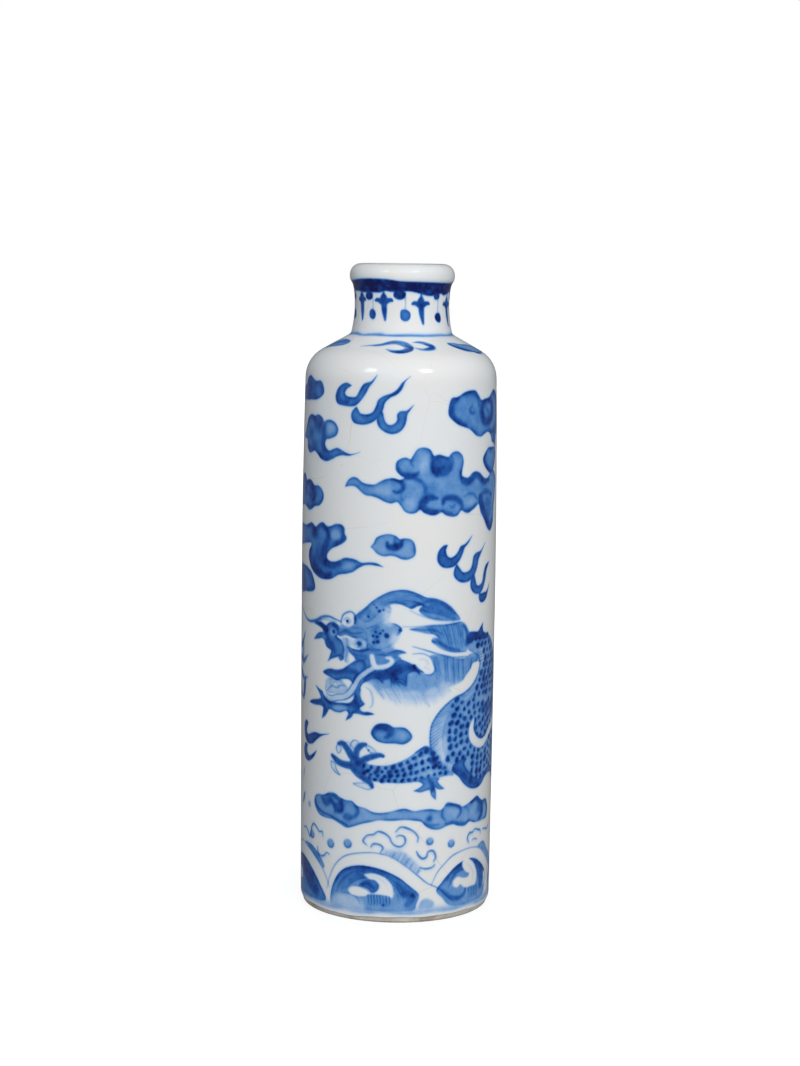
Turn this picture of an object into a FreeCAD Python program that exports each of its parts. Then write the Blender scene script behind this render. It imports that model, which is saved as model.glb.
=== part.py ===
# A small cylindrical porcelain bottle for snuff, with a short neck and a rolled lip.
#
# A potter makes it from thrown and luted sections. The wall is thrown with its shoulder.
# The base disc is luted into its lower end and the foot ring under it, and the neck collar
# is luted into the hole of the shoulder, with the rolled lip on top. One coat of clear
# glaze, over the underglaze painting, runs from just above the foot, over the lip and down
# the bore of the neck. The foot's lower edge stays bare, and its recess has its own glaze.
#
# Millimetres. The origin is at the middle of the foot's resting plane, and +Z is up.
import FreeCAD, Part

import math
import os
import sys

import Sketcher

FULL_TURN = 360
QUARTER_TURN = 90
HALF_SHARE = 0.5
FULL_SHARE = 1
TABLE_NAME = "Sizes"

# The driving dimensions, in millimetres and degrees.
DRIVING = {
    # wall and shoulder, measured on the glaze
    "belly_radius": 12.1,
    "belly_height": 42.0,
    "lower_bow": 0.17,
    "upper_bow": 0.28,
    "wall_thickness": 1.75,
    "shoulder_start_height": 66.0,
    "shoulder_round": 3.95,
    "shoulder_slope": 29.0,
    "shoulder_thickness": 1.9,
    "chamber_round": 2.0,
    # mouth and neck, each wall measured from the bore of the mouth
    "mouth_radius": 3.5,
    "neck_wall": 2.32,
    "neck_base_flare": 0.43,
    "neck_top_flare": 0.11,
    "neck_height": 5.39,
    "neck_waist_height": 3.4,
    "neck_fillet": 0.7,
    "spigot_wall": 1.2,
    # rolled lip
    "lip_overhang": 0.64,
    "lip_height": 3.2,
    "lip_upper_round": 1.35,
    "lip_lower_round": 1.0,
    "lip_band": 0.3,
    "lip_undercut": 50.0,
    "mouth_round": 1.2,
    # foot and base
    "foot_ring_height": 1.6,
    "foot_ring_width": 2.12,
    "foot_inset": 0.31,
    "foot_edge_round": 0.2,
    "glaze_line_height": 0.7,
    "base_thickness": 2.0,
    # coats and joints
    "glaze_thickness": 0.2,
    "luting_gap": 0.05,
}


class Size:
    """A length with its number and the expression that ties it to the table of sizes."""

    def __init__(self, value, text):
        self.value = float(value)
        self.text = text

    def join(self, other, sign, value):
        text = other.text if isinstance(other, Size) else repr(other)
        return Size(value, f"({self.text} {sign} {text})")

    def __add__(self, other):
        return self.join(other, "+", self.value + number(other))

    def __sub__(self, other):
        return self.join(other, "-", self.value - number(other))

    def __mul__(self, other):
        return self.join(other, "*", self.value * number(other))

    def __truediv__(self, other):
        return self.join(other, "/", self.value / number(other))


def number(thing):
    return thing.value if isinstance(thing, Size) else float(thing)


def root(length):
    return Size(math.sqrt(length.value), f"sqrt({length.text})")


def sine(angle):
    return Size(math.sin(math.radians(angle.value)), f"sin({angle.text} * 1 deg)")


def cosine(angle):
    return Size(math.cos(math.radians(angle.value)), f"cos({angle.text} * 1 deg)")


def tangent(angle):
    return Size(math.tan(math.radians(angle.value)), f"tan({angle.text} * 1 deg)")


def make_table(doc):
    """Writes the driving dimensions into a spreadsheet and returns them as Size values."""
    table = doc.addObject("Spreadsheet::Sheet", TABLE_NAME)
    sizes = {}
    for row, (alias, value) in enumerate(DRIVING.items(), start=1):
        table.set(f"A{row}", alias)
        table.set(f"B{row}", str(value))
        table.setAlias(f"B{row}", alias)
        sizes[alias] = Size(value, f"{TABLE_NAME}.{alias}")
    doc.recompute()
    return sizes


class Outline:
    """A closed profile in the XZ plane: corners joined by lines, or by arcs through a point."""

    def __init__(self, body, name):
        self.sketch = body.newObject("Sketcher::SketchObject", name)
        plane = next(f for f in body.Origin.OriginFeatures if f.Role == "XZ_Plane")
        self.sketch.AttachmentSupport = [(plane, "")]
        self.sketch.MapMode = "FlatFace"

    def fix(self, geometry, vertex, point):
        """Ties a vertex to its radius and height, or to an axis where one of them is zero."""
        for place, constraint, axis in ((point[0], "DistanceX", -2), (point[1], "DistanceY", -1)):
            if number(place) == 0:
                rule = Sketcher.Constraint("PointOnObject", geometry, vertex, axis)
                self.sketch.addConstraint(rule)
            else:
                rule = Sketcher.Constraint(constraint, -1, 1, geometry, vertex, number(place))
                index = self.sketch.addConstraint(rule)
                self.sketch.setExpression(f"Constraints[{index}]", place.text)

    def draw(self, steps):
        """steps lists (corner, through), through being a point of the arc to the next corner."""
        spots = [FreeCAD.Vector(number(c[0]), number(c[1]), 0) for c, _ in steps]
        made = []
        for index, (_, through) in enumerate(steps):
            here, there = spots[index], spots[(index + 1) % len(steps)]
            if through is None:
                edge = Part.LineSegment(here, there)
            else:
                middle = FreeCAD.Vector(number(through[0]), number(through[1]), 0)
                edge = Part.Arc(here, middle, there)
            made.append(self.sketch.addGeometry(edge, False))
        ends = [self.ends_of(edge, spots[index]) for index, edge in enumerate(made)]
        for index, (corner, through) in enumerate(steps):
            edge = made[index]
            last = made[index - 1]
            rule = Sketcher.Constraint("Coincident", last, ends[index - 1][1], edge, ends[index][0])
            self.sketch.addConstraint(rule)
            self.fix(edge, ends[index][0], corner)
            if through is not None:
                spot = FreeCAD.Vector(number(through[0]), number(through[1]), 0)
                mark = self.sketch.addGeometry(Part.Point(spot), True)
                self.fix(mark, 1, through)
                self.sketch.addConstraint(Sketcher.Constraint("PointOnObject", mark, 1, edge))
        return self.sketch

    def ends_of(self, edge, start):
        """Which vertex of an edge is its first and which its last, since arcs run one way."""
        first = self.sketch.getPoint(edge, 1)
        last = self.sketch.getPoint(edge, 2)
        return (1, 2) if first.distanceToPoint(start) < last.distanceToPoint(start) else (2, 1)


def turned_body(doc, label, steps):
    """A body turned about the Z axis from a closed outline."""
    body = doc.addObject("PartDesign::Body", label)
    body.Label = label
    sketch = Outline(body, label + "_outline").draw(steps)
    doc.recompute()
    turn = body.newObject("PartDesign::Revolution", label + "_turned")
    turn.Profile = sketch
    turn.ReferenceAxis = (sketch, ["V_Axis"])
    turn.Angle = FULL_TURN
    body.Tip = turn
    doc.recompute()
    return body


def round_edge(doc, body, label, radius, height, rounding):
    """Rounds the circular edge that lies at a radius and height of the body."""
    base = body.Tip
    near = FreeCAD.Vector(number(radius), 0, number(height))
    gaps = {}
    for index, edge in enumerate(base.Shape.Edges, start=1):
        gaps[f"Edge{index}"] = edge.distToShape(Part.Vertex(near))[0]
    found = min(gaps, key=gaps.get)
    fillet = body.newObject("PartDesign::Fillet", label)
    fillet.Base = (base, [found])
    fillet.setExpression("Radius", rounding.text)
    fillet.Radius = rounding.value
    body.Tip = fillet
    doc.recompute()
    return fillet


class Form:
    """The lines of the whole bottle, each at an inset: none on the glaze, a coat on the clay."""

    def __init__(self, s):
        self.s = s
        self.bare = Size(0, "0")
        self.clay = s["glaze_thickness"]
        self.low = s["glaze_line_height"]
        rise = s["belly_height"] - self.low
        climb = s["shoulder_start_height"] - s["belly_height"]
        self.lower_radius = (s["lower_bow"] * s["lower_bow"] + rise * rise) / (s["lower_bow"] * 2)
        self.upper_radius = (s["upper_bow"] * s["upper_bow"] + climb * climb) / (s["upper_bow"] * 2)
        reach = self.upper_radius - s["shoulder_round"]
        across = root(reach * reach - climb * climb)
        self.upper_centre = s["belly_radius"] - self.upper_radius
        self.shoulder_centre = (self.upper_centre + across, s["shoulder_start_height"])
        self.lean = (across / reach, climb / reach)
        self.slope = tangent(s["shoulder_slope"])
        self.neck_waist_radius = s["mouth_radius"] + s["neck_wall"]
        self.neck_base_radius = self.neck_waist_radius + s["neck_base_flare"]
        self.lip_radius = self.neck_waist_radius + s["lip_overhang"]
        self.neck_foot = self.slope_height(self.neck_base_radius, self.bare)
        self.neck_top = self.neck_foot + s["neck_height"]
        self.top = self.neck_top + s["lip_height"]
        self.bore = s["mouth_radius"] + self.clay
        self.spigot = self.bore + s["spigot_wall"]
        self.hole = self.spigot + s["luting_gap"]
        self.chamber = s["belly_radius"] - s["lower_bow"] - self.clay - s["wall_thickness"]
        self.spigot_end = self.ceiling(self.hole)
        self.foot_contact = s["belly_radius"] - s["lower_bow"] - s["foot_inset"]
        self.foot_inner = self.foot_contact - s["foot_ring_width"]

    def wall_at(self, height, inset):
        """A point of the wall below the belly, at a height."""
        radius = self.lower_radius - inset
        drop = self.s["belly_height"] - height
        centre = self.s["belly_radius"] - self.lower_radius
        return (centre + root(radius * radius - drop * drop), height)

    def wall_belly(self, inset):
        return (self.s["belly_radius"] - inset, self.s["belly_height"])

    def wall_above(self, share, inset):
        """A point of the wall above the belly, at a share of the way to the shoulder."""
        radius = self.upper_radius - inset
        height = self.lean[1] * share
        x = self.upper_centre + radius * root(Size(1, "1") - height * height)
        return (x, self.s["belly_height"] + radius * height)

    def ceiling(self, radius):
        """Height of the shoulder's underside at a radius."""
        clay = self.s["shoulder_thickness"] + self.clay
        return self.slope_height(radius, self.bare) - clay / cosine(self.s["shoulder_slope"])

    def shoulder_at(self, angle_sine, angle_cosine, inset):
        radius = self.s["shoulder_round"] - inset
        x, z = self.shoulder_centre
        return (x + radius * angle_cosine, z + radius * angle_sine)

    def shoulder_middle(self, inset):
        """Halfway round the shoulder, where its surface leans as half the slope's turn."""
        half = (Size(QUARTER_TURN, str(QUARTER_TURN)) - self.s["shoulder_slope"]) / 2
        return self.shoulder_at(sine(half), cosine(half), inset)

    def shoulder_end(self, inset):
        return self.shoulder_at(cosine(self.s["shoulder_slope"]), sine(self.s["shoulder_slope"]), inset)

    def slope_height(self, radius, inset):
        """Height of the sloping shoulder at a radius."""
        x, z = self.shoulder_end(inset)
        return z + (x - radius) * self.slope

    def neck_base(self, inset):
        radius = self.neck_base_radius - inset
        return (radius, self.slope_height(radius, inset))

    def neck_waist(self, inset):
        height = self.neck_foot + self.s["neck_waist_height"]
        return (self.neck_waist_radius - inset, height)

    def neck_end(self, inset):
        return (self.neck_waist_radius + self.s["neck_top_flare"] - inset, self.neck_top)

    def lip_lower(self, angle, inset):
        radius = self.s["lip_lower_round"] - inset
        x = self.lip_radius - self.s["lip_lower_round"]
        z = self.top - self.s["lip_upper_round"] - self.s["lip_band"]
        return (x + radius * cosine(angle), z - radius * sine(angle))

    def lip_upper(self, angle, inset):
        radius = self.s["lip_upper_round"] - inset
        x = self.lip_radius - self.s["lip_upper_round"]
        z = self.top - self.s["lip_upper_round"]
        return (x + radius * cosine(angle), z + radius * sine(angle))

    def mouth_edge(self, angle, inset):
        radius = self.s["mouth_round"] - inset
        x = self.s["mouth_radius"] + self.s["mouth_round"]
        z = self.top - self.s["mouth_round"]
        return (x - radius * cosine(angle), z + radius * sine(angle))

    def wall_steps(self, start, inset):
        """From a height near the foot up the wall and round the shoulder to the neck."""
        middle = (start + self.s["belly_height"]) / 2
        return [
            (self.wall_at(start, inset), self.wall_at(middle, inset)),
            (self.wall_belly(inset), self.wall_above(HALF_SHARE, inset)),
            (self.wall_above(FULL_SHARE, inset), self.shoulder_middle(inset)),
            (self.shoulder_end(inset), None),
        ]

    def neck_steps(self, inset):
        return [(self.neck_base(inset), self.neck_waist(inset)), (self.neck_end(inset), None)]

    def lip_steps(self, inset):
        """From the underside of the lip over its roll and down into the mouth."""
        level, upright = Size(0, "0"), Size(QUARTER_TURN, str(QUARTER_TURN))
        half = upright / 2
        undercut = self.s["lip_undercut"]
        return [
            (self.lip_lower(undercut, inset), self.lip_lower(undercut / 2, inset)),
            (self.lip_lower(level, inset), None),
            (self.lip_upper(level, inset), self.lip_upper(half, inset)),
            (self.lip_upper(upright, inset), None),
            (self.mouth_edge(upright, inset), self.mouth_edge(half, inset)),
            (self.mouth_edge(level, inset), None),
        ]


def backwards(steps):
    """The same outline run the other way, each arc still between its own two corners."""
    corners = [corner for corner, _ in steps][::-1]
    arcs = [through for _, through in steps][::-1]
    return list(zip(corners, arcs[1:] + [None]))


def make_foot_ring(doc, s, form):
    """The turned ring that the bottle stands on, bare below the glaze line."""
    zero = Size(0, "0")
    contact = (form.foot_contact, zero)
    top = s["foot_ring_height"]
    middle = (form.low + top) / 2
    body = turned_body(doc, "foot_ring", [
        ((form.foot_inner, zero), None),
        (contact, None),
        (form.wall_at(form.low, form.clay), form.wall_at(middle, form.clay)),
        (form.wall_at(top, form.clay), None),
        ((form.foot_inner, top), None),
    ])
    round_edge(doc, body, "outer_edge", *contact, s["foot_edge_round"])
    round_edge(doc, body, "inner_edge", form.foot_inner, zero, s["foot_edge_round"])
    return body


def make_base_disc(doc, s, form):
    """The floor of the chamber, luted into the lower end of the wall."""
    zero = Size(0, "0")
    low = s["foot_ring_height"]
    radius = form.chamber - s["luting_gap"]
    return turned_body(doc, "base_disc", [
        ((zero, low), None),
        ((radius, low), None),
        ((radius, low + s["base_thickness"]), None),
        ((zero, low + s["base_thickness"]), None),
    ])


def make_base_glaze(doc, s, form):
    """The glaze in the recess inside the foot ring."""
    zero = Size(0, "0")
    high = s["foot_ring_height"]
    return turned_body(doc, "base_glaze", [
        ((zero, high - form.clay), None),
        ((form.foot_inner, high - form.clay), None),
        ((form.foot_inner, high), None),
        ((zero, high), None),
    ])


def make_body_wall(doc, s, form):
    """The thrown wall with its shoulder, open at the foot and holed for the neck."""
    low = s["foot_ring_height"]
    corner = (form.chamber, form.ceiling(form.chamber))
    body = turned_body(doc, "body_wall", form.wall_steps(low, form.clay) + [
        ((form.hole, form.slope_height(form.hole, form.clay)), None),
        ((form.hole, form.ceiling(form.hole)), None),
        (corner, None),
        ((form.chamber, low), None),
    ])
    round_edge(doc, body, "chamber_corner", *corner, s["chamber_round"])
    return body


def make_neck_collar(doc, s, form):
    """The collar of the neck, with a spigot that fills the shoulder's hole."""
    return turned_body(doc, "neck_collar", [
        ((form.bore, form.spigot_end), None),
        ((form.spigot, form.spigot_end), None),
        ((form.spigot, form.slope_height(form.spigot, form.clay)), None),
        *form.neck_steps(form.clay),
        ((form.bore, form.neck_top), None),
    ])


def make_mouth_lip(doc, s, form):
    """The rolled lip on the collar's upper end."""
    return turned_body(doc, "mouth_lip", [
        ((form.bore, form.neck_top), None),
        (form.neck_end(form.clay), None),
        *form.lip_steps(form.clay),
    ])


def make_glaze_coat(doc, s, form):
    """The clear coat over the wall, neck and lip, and down the bore of the neck."""
    outside, inside = (
        form.wall_steps(form.low, inset) + form.neck_steps(inset) + form.lip_steps(inset)
        for inset in (form.bare, form.clay)
    )
    body = turned_body(doc, "glaze_coat", outside + [
        ((s["mouth_radius"], form.spigot_end), None),
        ((form.bore, form.spigot_end), None),
    ] + backwards(inside))
    round_edge(doc, body, "pooled_glaze", *form.neck_base(form.bare), s["neck_fillet"])
    return body


def check(doc, bodies):
    """Stops the build if anything failed or a part has no valid solid."""
    faults = [f"{o.Name}: {o.State}" for o in doc.Objects if {"Invalid", "Error"} & set(o.State)]
    for body in bodies:
        if body.Shape.isNull() or not body.Shape.isValid() or body.Shape.Volume <= 0:
            faults.append(f"{body.Label} has no valid shape")
    if faults:
        sys.exit("The build stopped. " + "; ".join(faults))


def main():
    doc = FreeCAD.newDocument("snuff_bottle")
    s = make_table(doc)
    form = Form(s)
    makers = (
        make_foot_ring,
        make_base_disc,
        make_base_glaze,
        make_body_wall,
        make_neck_collar,
        make_mouth_lip,
        make_glaze_coat,
    )
    bodies = [maker(doc, s, form) for maker in makers]
    doc.recompute()
    check(doc, bodies)
    os.makedirs("parts", exist_ok=True)
    for body in bodies:
        body.Shape.exportStep(f"parts/{body.Label}.step")
        box = body.Shape.optimalBoundingBox(True, False)
        print(f"{body.Label}: radius {box.XMax:.2f}, height {box.ZMin:.2f} to {box.ZMax:.2f}, "
              f"volume {body.Shape.Volume:.1f} mm3, solids {len(body.Shape.Solids)}")


main()
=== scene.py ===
# A slim porcelain snuff bottle, underglaze painted in cobalt with a dragon among clouds over
# breaking waves, on a white ground. The painting is brushed in code on the unrolled bottle.
import math
import random

import bpy
import numpy as np
from mathutils import Matrix, Vector


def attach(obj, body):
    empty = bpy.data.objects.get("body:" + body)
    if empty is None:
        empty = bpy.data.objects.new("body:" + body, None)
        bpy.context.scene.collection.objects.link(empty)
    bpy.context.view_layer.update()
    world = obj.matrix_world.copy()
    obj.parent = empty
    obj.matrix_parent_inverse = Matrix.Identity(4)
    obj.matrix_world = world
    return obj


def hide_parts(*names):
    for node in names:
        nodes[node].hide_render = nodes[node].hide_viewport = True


mm = 0.001  # metres in a millimetre

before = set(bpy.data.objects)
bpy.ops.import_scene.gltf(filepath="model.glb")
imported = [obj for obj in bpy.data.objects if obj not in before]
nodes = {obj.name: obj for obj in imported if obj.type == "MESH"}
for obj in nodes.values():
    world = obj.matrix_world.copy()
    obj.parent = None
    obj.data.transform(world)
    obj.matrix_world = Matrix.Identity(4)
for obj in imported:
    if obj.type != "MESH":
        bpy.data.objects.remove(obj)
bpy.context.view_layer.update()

# The bottle's own lines in millimetres and degrees, measured on the glaze.
bottle = {
    "bellyRadius": 12.1,
    "bellyHeight": 42.0,
    "lowerBow": 0.17,
    "upperBow": 0.28,
    "shoulderStart": 66.0,
    "shoulderRound": 3.95,
    "shoulderSlope": 29.0,
    "neckFoot": 6.25,  # radius at the foot of the neck
    "neckWaist": 5.82,
    "neckWaistHeight": 3.4,
    "neckTop": 5.93,
    "neckHeight": 5.39,
    "lipRadius": 6.46,
    "lipHeight": 3.2,
    "lipUpper": 1.35,
    "lipBand": 0.3,
    "lipLower": 1.0,
    "lipUndercut": 50.0,
    "mouthRadius": 3.5,
    "mouthRound": 1.2,
    "boreEnd": 69.75,  # height where the coat ends inside the neck
    "glazeLine": 0.7,
    "coat": 0.16,  # thickness of the glaze's skin
    "softening": 0.2,  # how far the glaze rounds off the corners under it
    "step": 0.02,  # spacing of the outline's points
}

# The unrolled sheet that is painted and then wrapped: columns go round, rows go up.
sheet = {
    "columns": 1280,
    "rows": 1504,
    "coarse": 16,  # cells of the sheet along the side of the skin's largest face
    "tolerance": 0.044,  # largest error of the paint's tone in a face
    "turn": 9.0,  # largest bend of the outline in a face, in degrees
    "sectors": 5,  # pieces that the skin is cut into
    "wallRing": 12.0,  # radius at which the wall's motifs are drawn
    "shoulderRing": 8.5,
    "neckRing": 5.9,
}


def arcPoints(cx, cz, radius, start, end, spacing=bottle["step"]):
    count = max(3, int(abs(radius * (end - start)) / spacing))
    turn = np.linspace(start, end, count)
    return np.stack([cx + radius * np.cos(turn), cz + radius * np.sin(turn)], 1)


def linePoints(start, end, spacing=bottle["step"]):
    length = math.hypot(end[0] - start[0], end[1] - start[1])
    share = np.linspace(0, 1, max(2, int(length / spacing)))[:, None]
    return np.array(start) * (1 - share) + np.array(end) * share


def arcThrough(a, b, c):
    # the arc from a through b to c
    ax, ay, bx, by, cx, cy = *a, *b, *c
    d = 2 * (ax * (by - cy) + bx * (cy - ay) + cx * (ay - by))
    sa, sb, sc = ax * ax + ay * ay, bx * bx + by * by, cx * cx + cy * cy
    ox = (sa * (by - cy) + sb * (cy - ay) + sc * (ay - by)) / d
    oy = (sa * (cx - bx) + sb * (ax - cx) + sc * (bx - ax)) / d
    radius = math.hypot(ax - ox, ay - oy)
    start, end = math.atan2(ay - oy, ax - ox), math.atan2(cy - oy, cx - ox)
    if end - start > math.pi:
        end -= 2 * math.pi
    if start - end > math.pi:
        end += 2 * math.pi
    return arcPoints(ox, oy, radius, start, end)


def smoothed(points, width, spacing):
    # rounds off a line's corners, with its ends kept
    reach = int(3 * width / spacing)
    kernel = np.exp(-0.5 * (np.arange(-reach, reach + 1) * spacing / width) ** 2)
    kernel /= kernel.sum()
    before = 2 * points[0] - points[reach:0:-1]
    after = 2 * points[-1] - points[-2 : -reach - 2 : -1]
    padded = np.concatenate([before, points, after])
    return np.stack([np.convolve(padded[:, k], kernel, "valid") for k in (0, 1)], 1)


def bottleOutline(b):
    # radius and height all along the glaze, from the foot over the lip and down the bore
    rise = b["bellyHeight"] - b["glazeLine"]
    climb = b["shoulderStart"] - b["bellyHeight"]
    lower = (b["lowerBow"] ** 2 + rise**2) / (2 * b["lowerBow"])
    upper = (b["upperBow"] ** 2 + climb**2) / (2 * b["upperBow"])
    lean = math.asin(climb / (upper - b["shoulderRound"]))
    shoulderX = b["bellyRadius"] - upper + (upper - b["shoulderRound"]) * math.cos(lean)
    slope = math.radians(b["shoulderSlope"])
    turned = math.pi / 2 - slope
    shoulderEnd = (
        shoulderX + b["shoulderRound"] * math.cos(turned),
        b["shoulderStart"] + b["shoulderRound"] * math.sin(turned),
    )
    footHeight = shoulderEnd[1] + (shoulderEnd[0] - b["neckFoot"]) * math.tan(slope)
    neckFoot = (b["neckFoot"], footHeight)
    neckWaist = (b["neckWaist"], footHeight + b["neckWaistHeight"])
    neckTop = (b["neckTop"], footHeight + b["neckHeight"])
    top = neckTop[1] + b["lipHeight"]
    lowerX = b["lipRadius"] - b["lipLower"]
    lowerZ = top - b["lipUpper"] - b["lipBand"]
    undercut = math.radians(b["lipUndercut"])
    lipStart = (lowerX + b["lipLower"] * math.cos(undercut), lowerZ - b["lipLower"] * math.sin(undercut))
    upperX = b["lipRadius"] - b["lipUpper"]
    upperZ = top - b["lipUpper"]
    mouthX = b["mouthRadius"] + b["mouthRound"]
    mouthZ = top - b["mouthRound"]
    parts = [
        arcPoints(b["bellyRadius"] - lower, b["bellyHeight"], lower, -math.asin(rise / lower), 0),
        arcPoints(b["bellyRadius"] - upper, b["bellyHeight"], upper, 0, lean),
        arcPoints(shoulderX, b["shoulderStart"], b["shoulderRound"], lean, turned),
        linePoints(shoulderEnd, neckFoot),
        arcThrough(neckFoot, neckWaist, neckTop),
        linePoints(neckTop, lipStart),
        arcPoints(lowerX, lowerZ, b["lipLower"], -undercut, 0),
        linePoints((b["lipRadius"], lowerZ), (b["lipRadius"], upperZ)),
        arcPoints(upperX, upperZ, b["lipUpper"], 0, math.pi / 2),
        linePoints((upperX, top), (mouthX, top)),
        arcPoints(mouthX, mouthZ, b["mouthRound"], math.pi / 2, math.pi),
        linePoints((b["mouthRadius"], mouthZ), (b["mouthRadius"], b["boreEnd"])),
    ]
    line = np.concatenate([p[:-1] for p in parts] + [parts[-1][-1:]])
    along = np.concatenate([[0], np.cumsum(np.hypot(*np.diff(line, axis=0).T))])
    even = np.arange(0, along[-1], b["step"])
    line = np.stack([np.interp(even, along, line[:, k]) for k in (0, 1)], 1)
    return smoothed(line, b["softening"], b["step"])


outline = bottleOutline(bottle)
outlineSteps = np.hypot(*np.diff(outline, axis=0).T)
outlineAlong = bottle["glazeLine"] + np.concatenate([[0], np.cumsum(outlineSteps)])
rowStep = (outlineAlong[-1] - outlineAlong[0]) / sheet["rows"]
rowPlace = outlineAlong[0] + np.arange(sheet["rows"] + 1) * rowStep
rowRadius = np.interp(rowPlace, outlineAlong, outline[:, 0])
rowHeight = np.interp(rowPlace, outlineAlong, outline[:, 1])
columnTurn = 2 * math.pi / sheet["columns"]
halfRound = sheet["columns"] // 2
paint = np.zeros((sheet["rows"] + 1, sheet["columns"]), np.float32)
chance = random.Random(11)
print(f"outline: {outlineAlong[-1]:.2f} mm along, rows of {rowStep:.4f} mm")


cobalt = {  # how the brush lays the cobalt
    "spacing": 0.12,  # of the points along a stroke, in mm
    "pooling": 1.25,  # strength of the pool along a wash's rim
    "poolFade": 0.62,  # how fast it fades inwards, as a share of the rim's width
    "uneven": 0.4,  # how much it wavers along the rim
    "waver": (1.9, 2.3),  # how fast, in radians to the millimetre across and up
    "wetted": (0.08, 0.3),  # tones between which earlier paint takes a deepening stroke
}


def softCurve(points, closed=False, spacing=cobalt["spacing"]):
    # a smooth line through given points; a point given twice makes a sharp corner
    p = np.array(points, float)
    if closed:
        p = np.concatenate([p[-1:], p, p[:2]])
    else:
        p = np.concatenate([2 * p[:1] - p[1:2], p, 2 * p[-1:] - p[-2:-1]])
    found = []
    for a, b, c, d in zip(p[:-3], p[1:-2], p[2:-1], p[3:]):
        length = math.hypot(c[0] - b[0], c[1] - b[1])
        if length < 1e-9:
            continue
        u = np.arange(0, 1, 1 / max(1, math.ceil(length / spacing)))[:, None]
        square, cube = 2 * a - 5 * b + 4 * c - d, 3 * b - a - 3 * c + d
        found.append(b + 0.5 * ((c - a) * u + square * u**2 + cube * u**3))
    if not closed:
        found.append(p[-2:-1])
    return np.concatenate(found)


def smoothStep(value, low, high):
    share = np.clip((value - low) / (high - low), 0, 1)
    return share * share * (3 - 2 * share)


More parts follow.
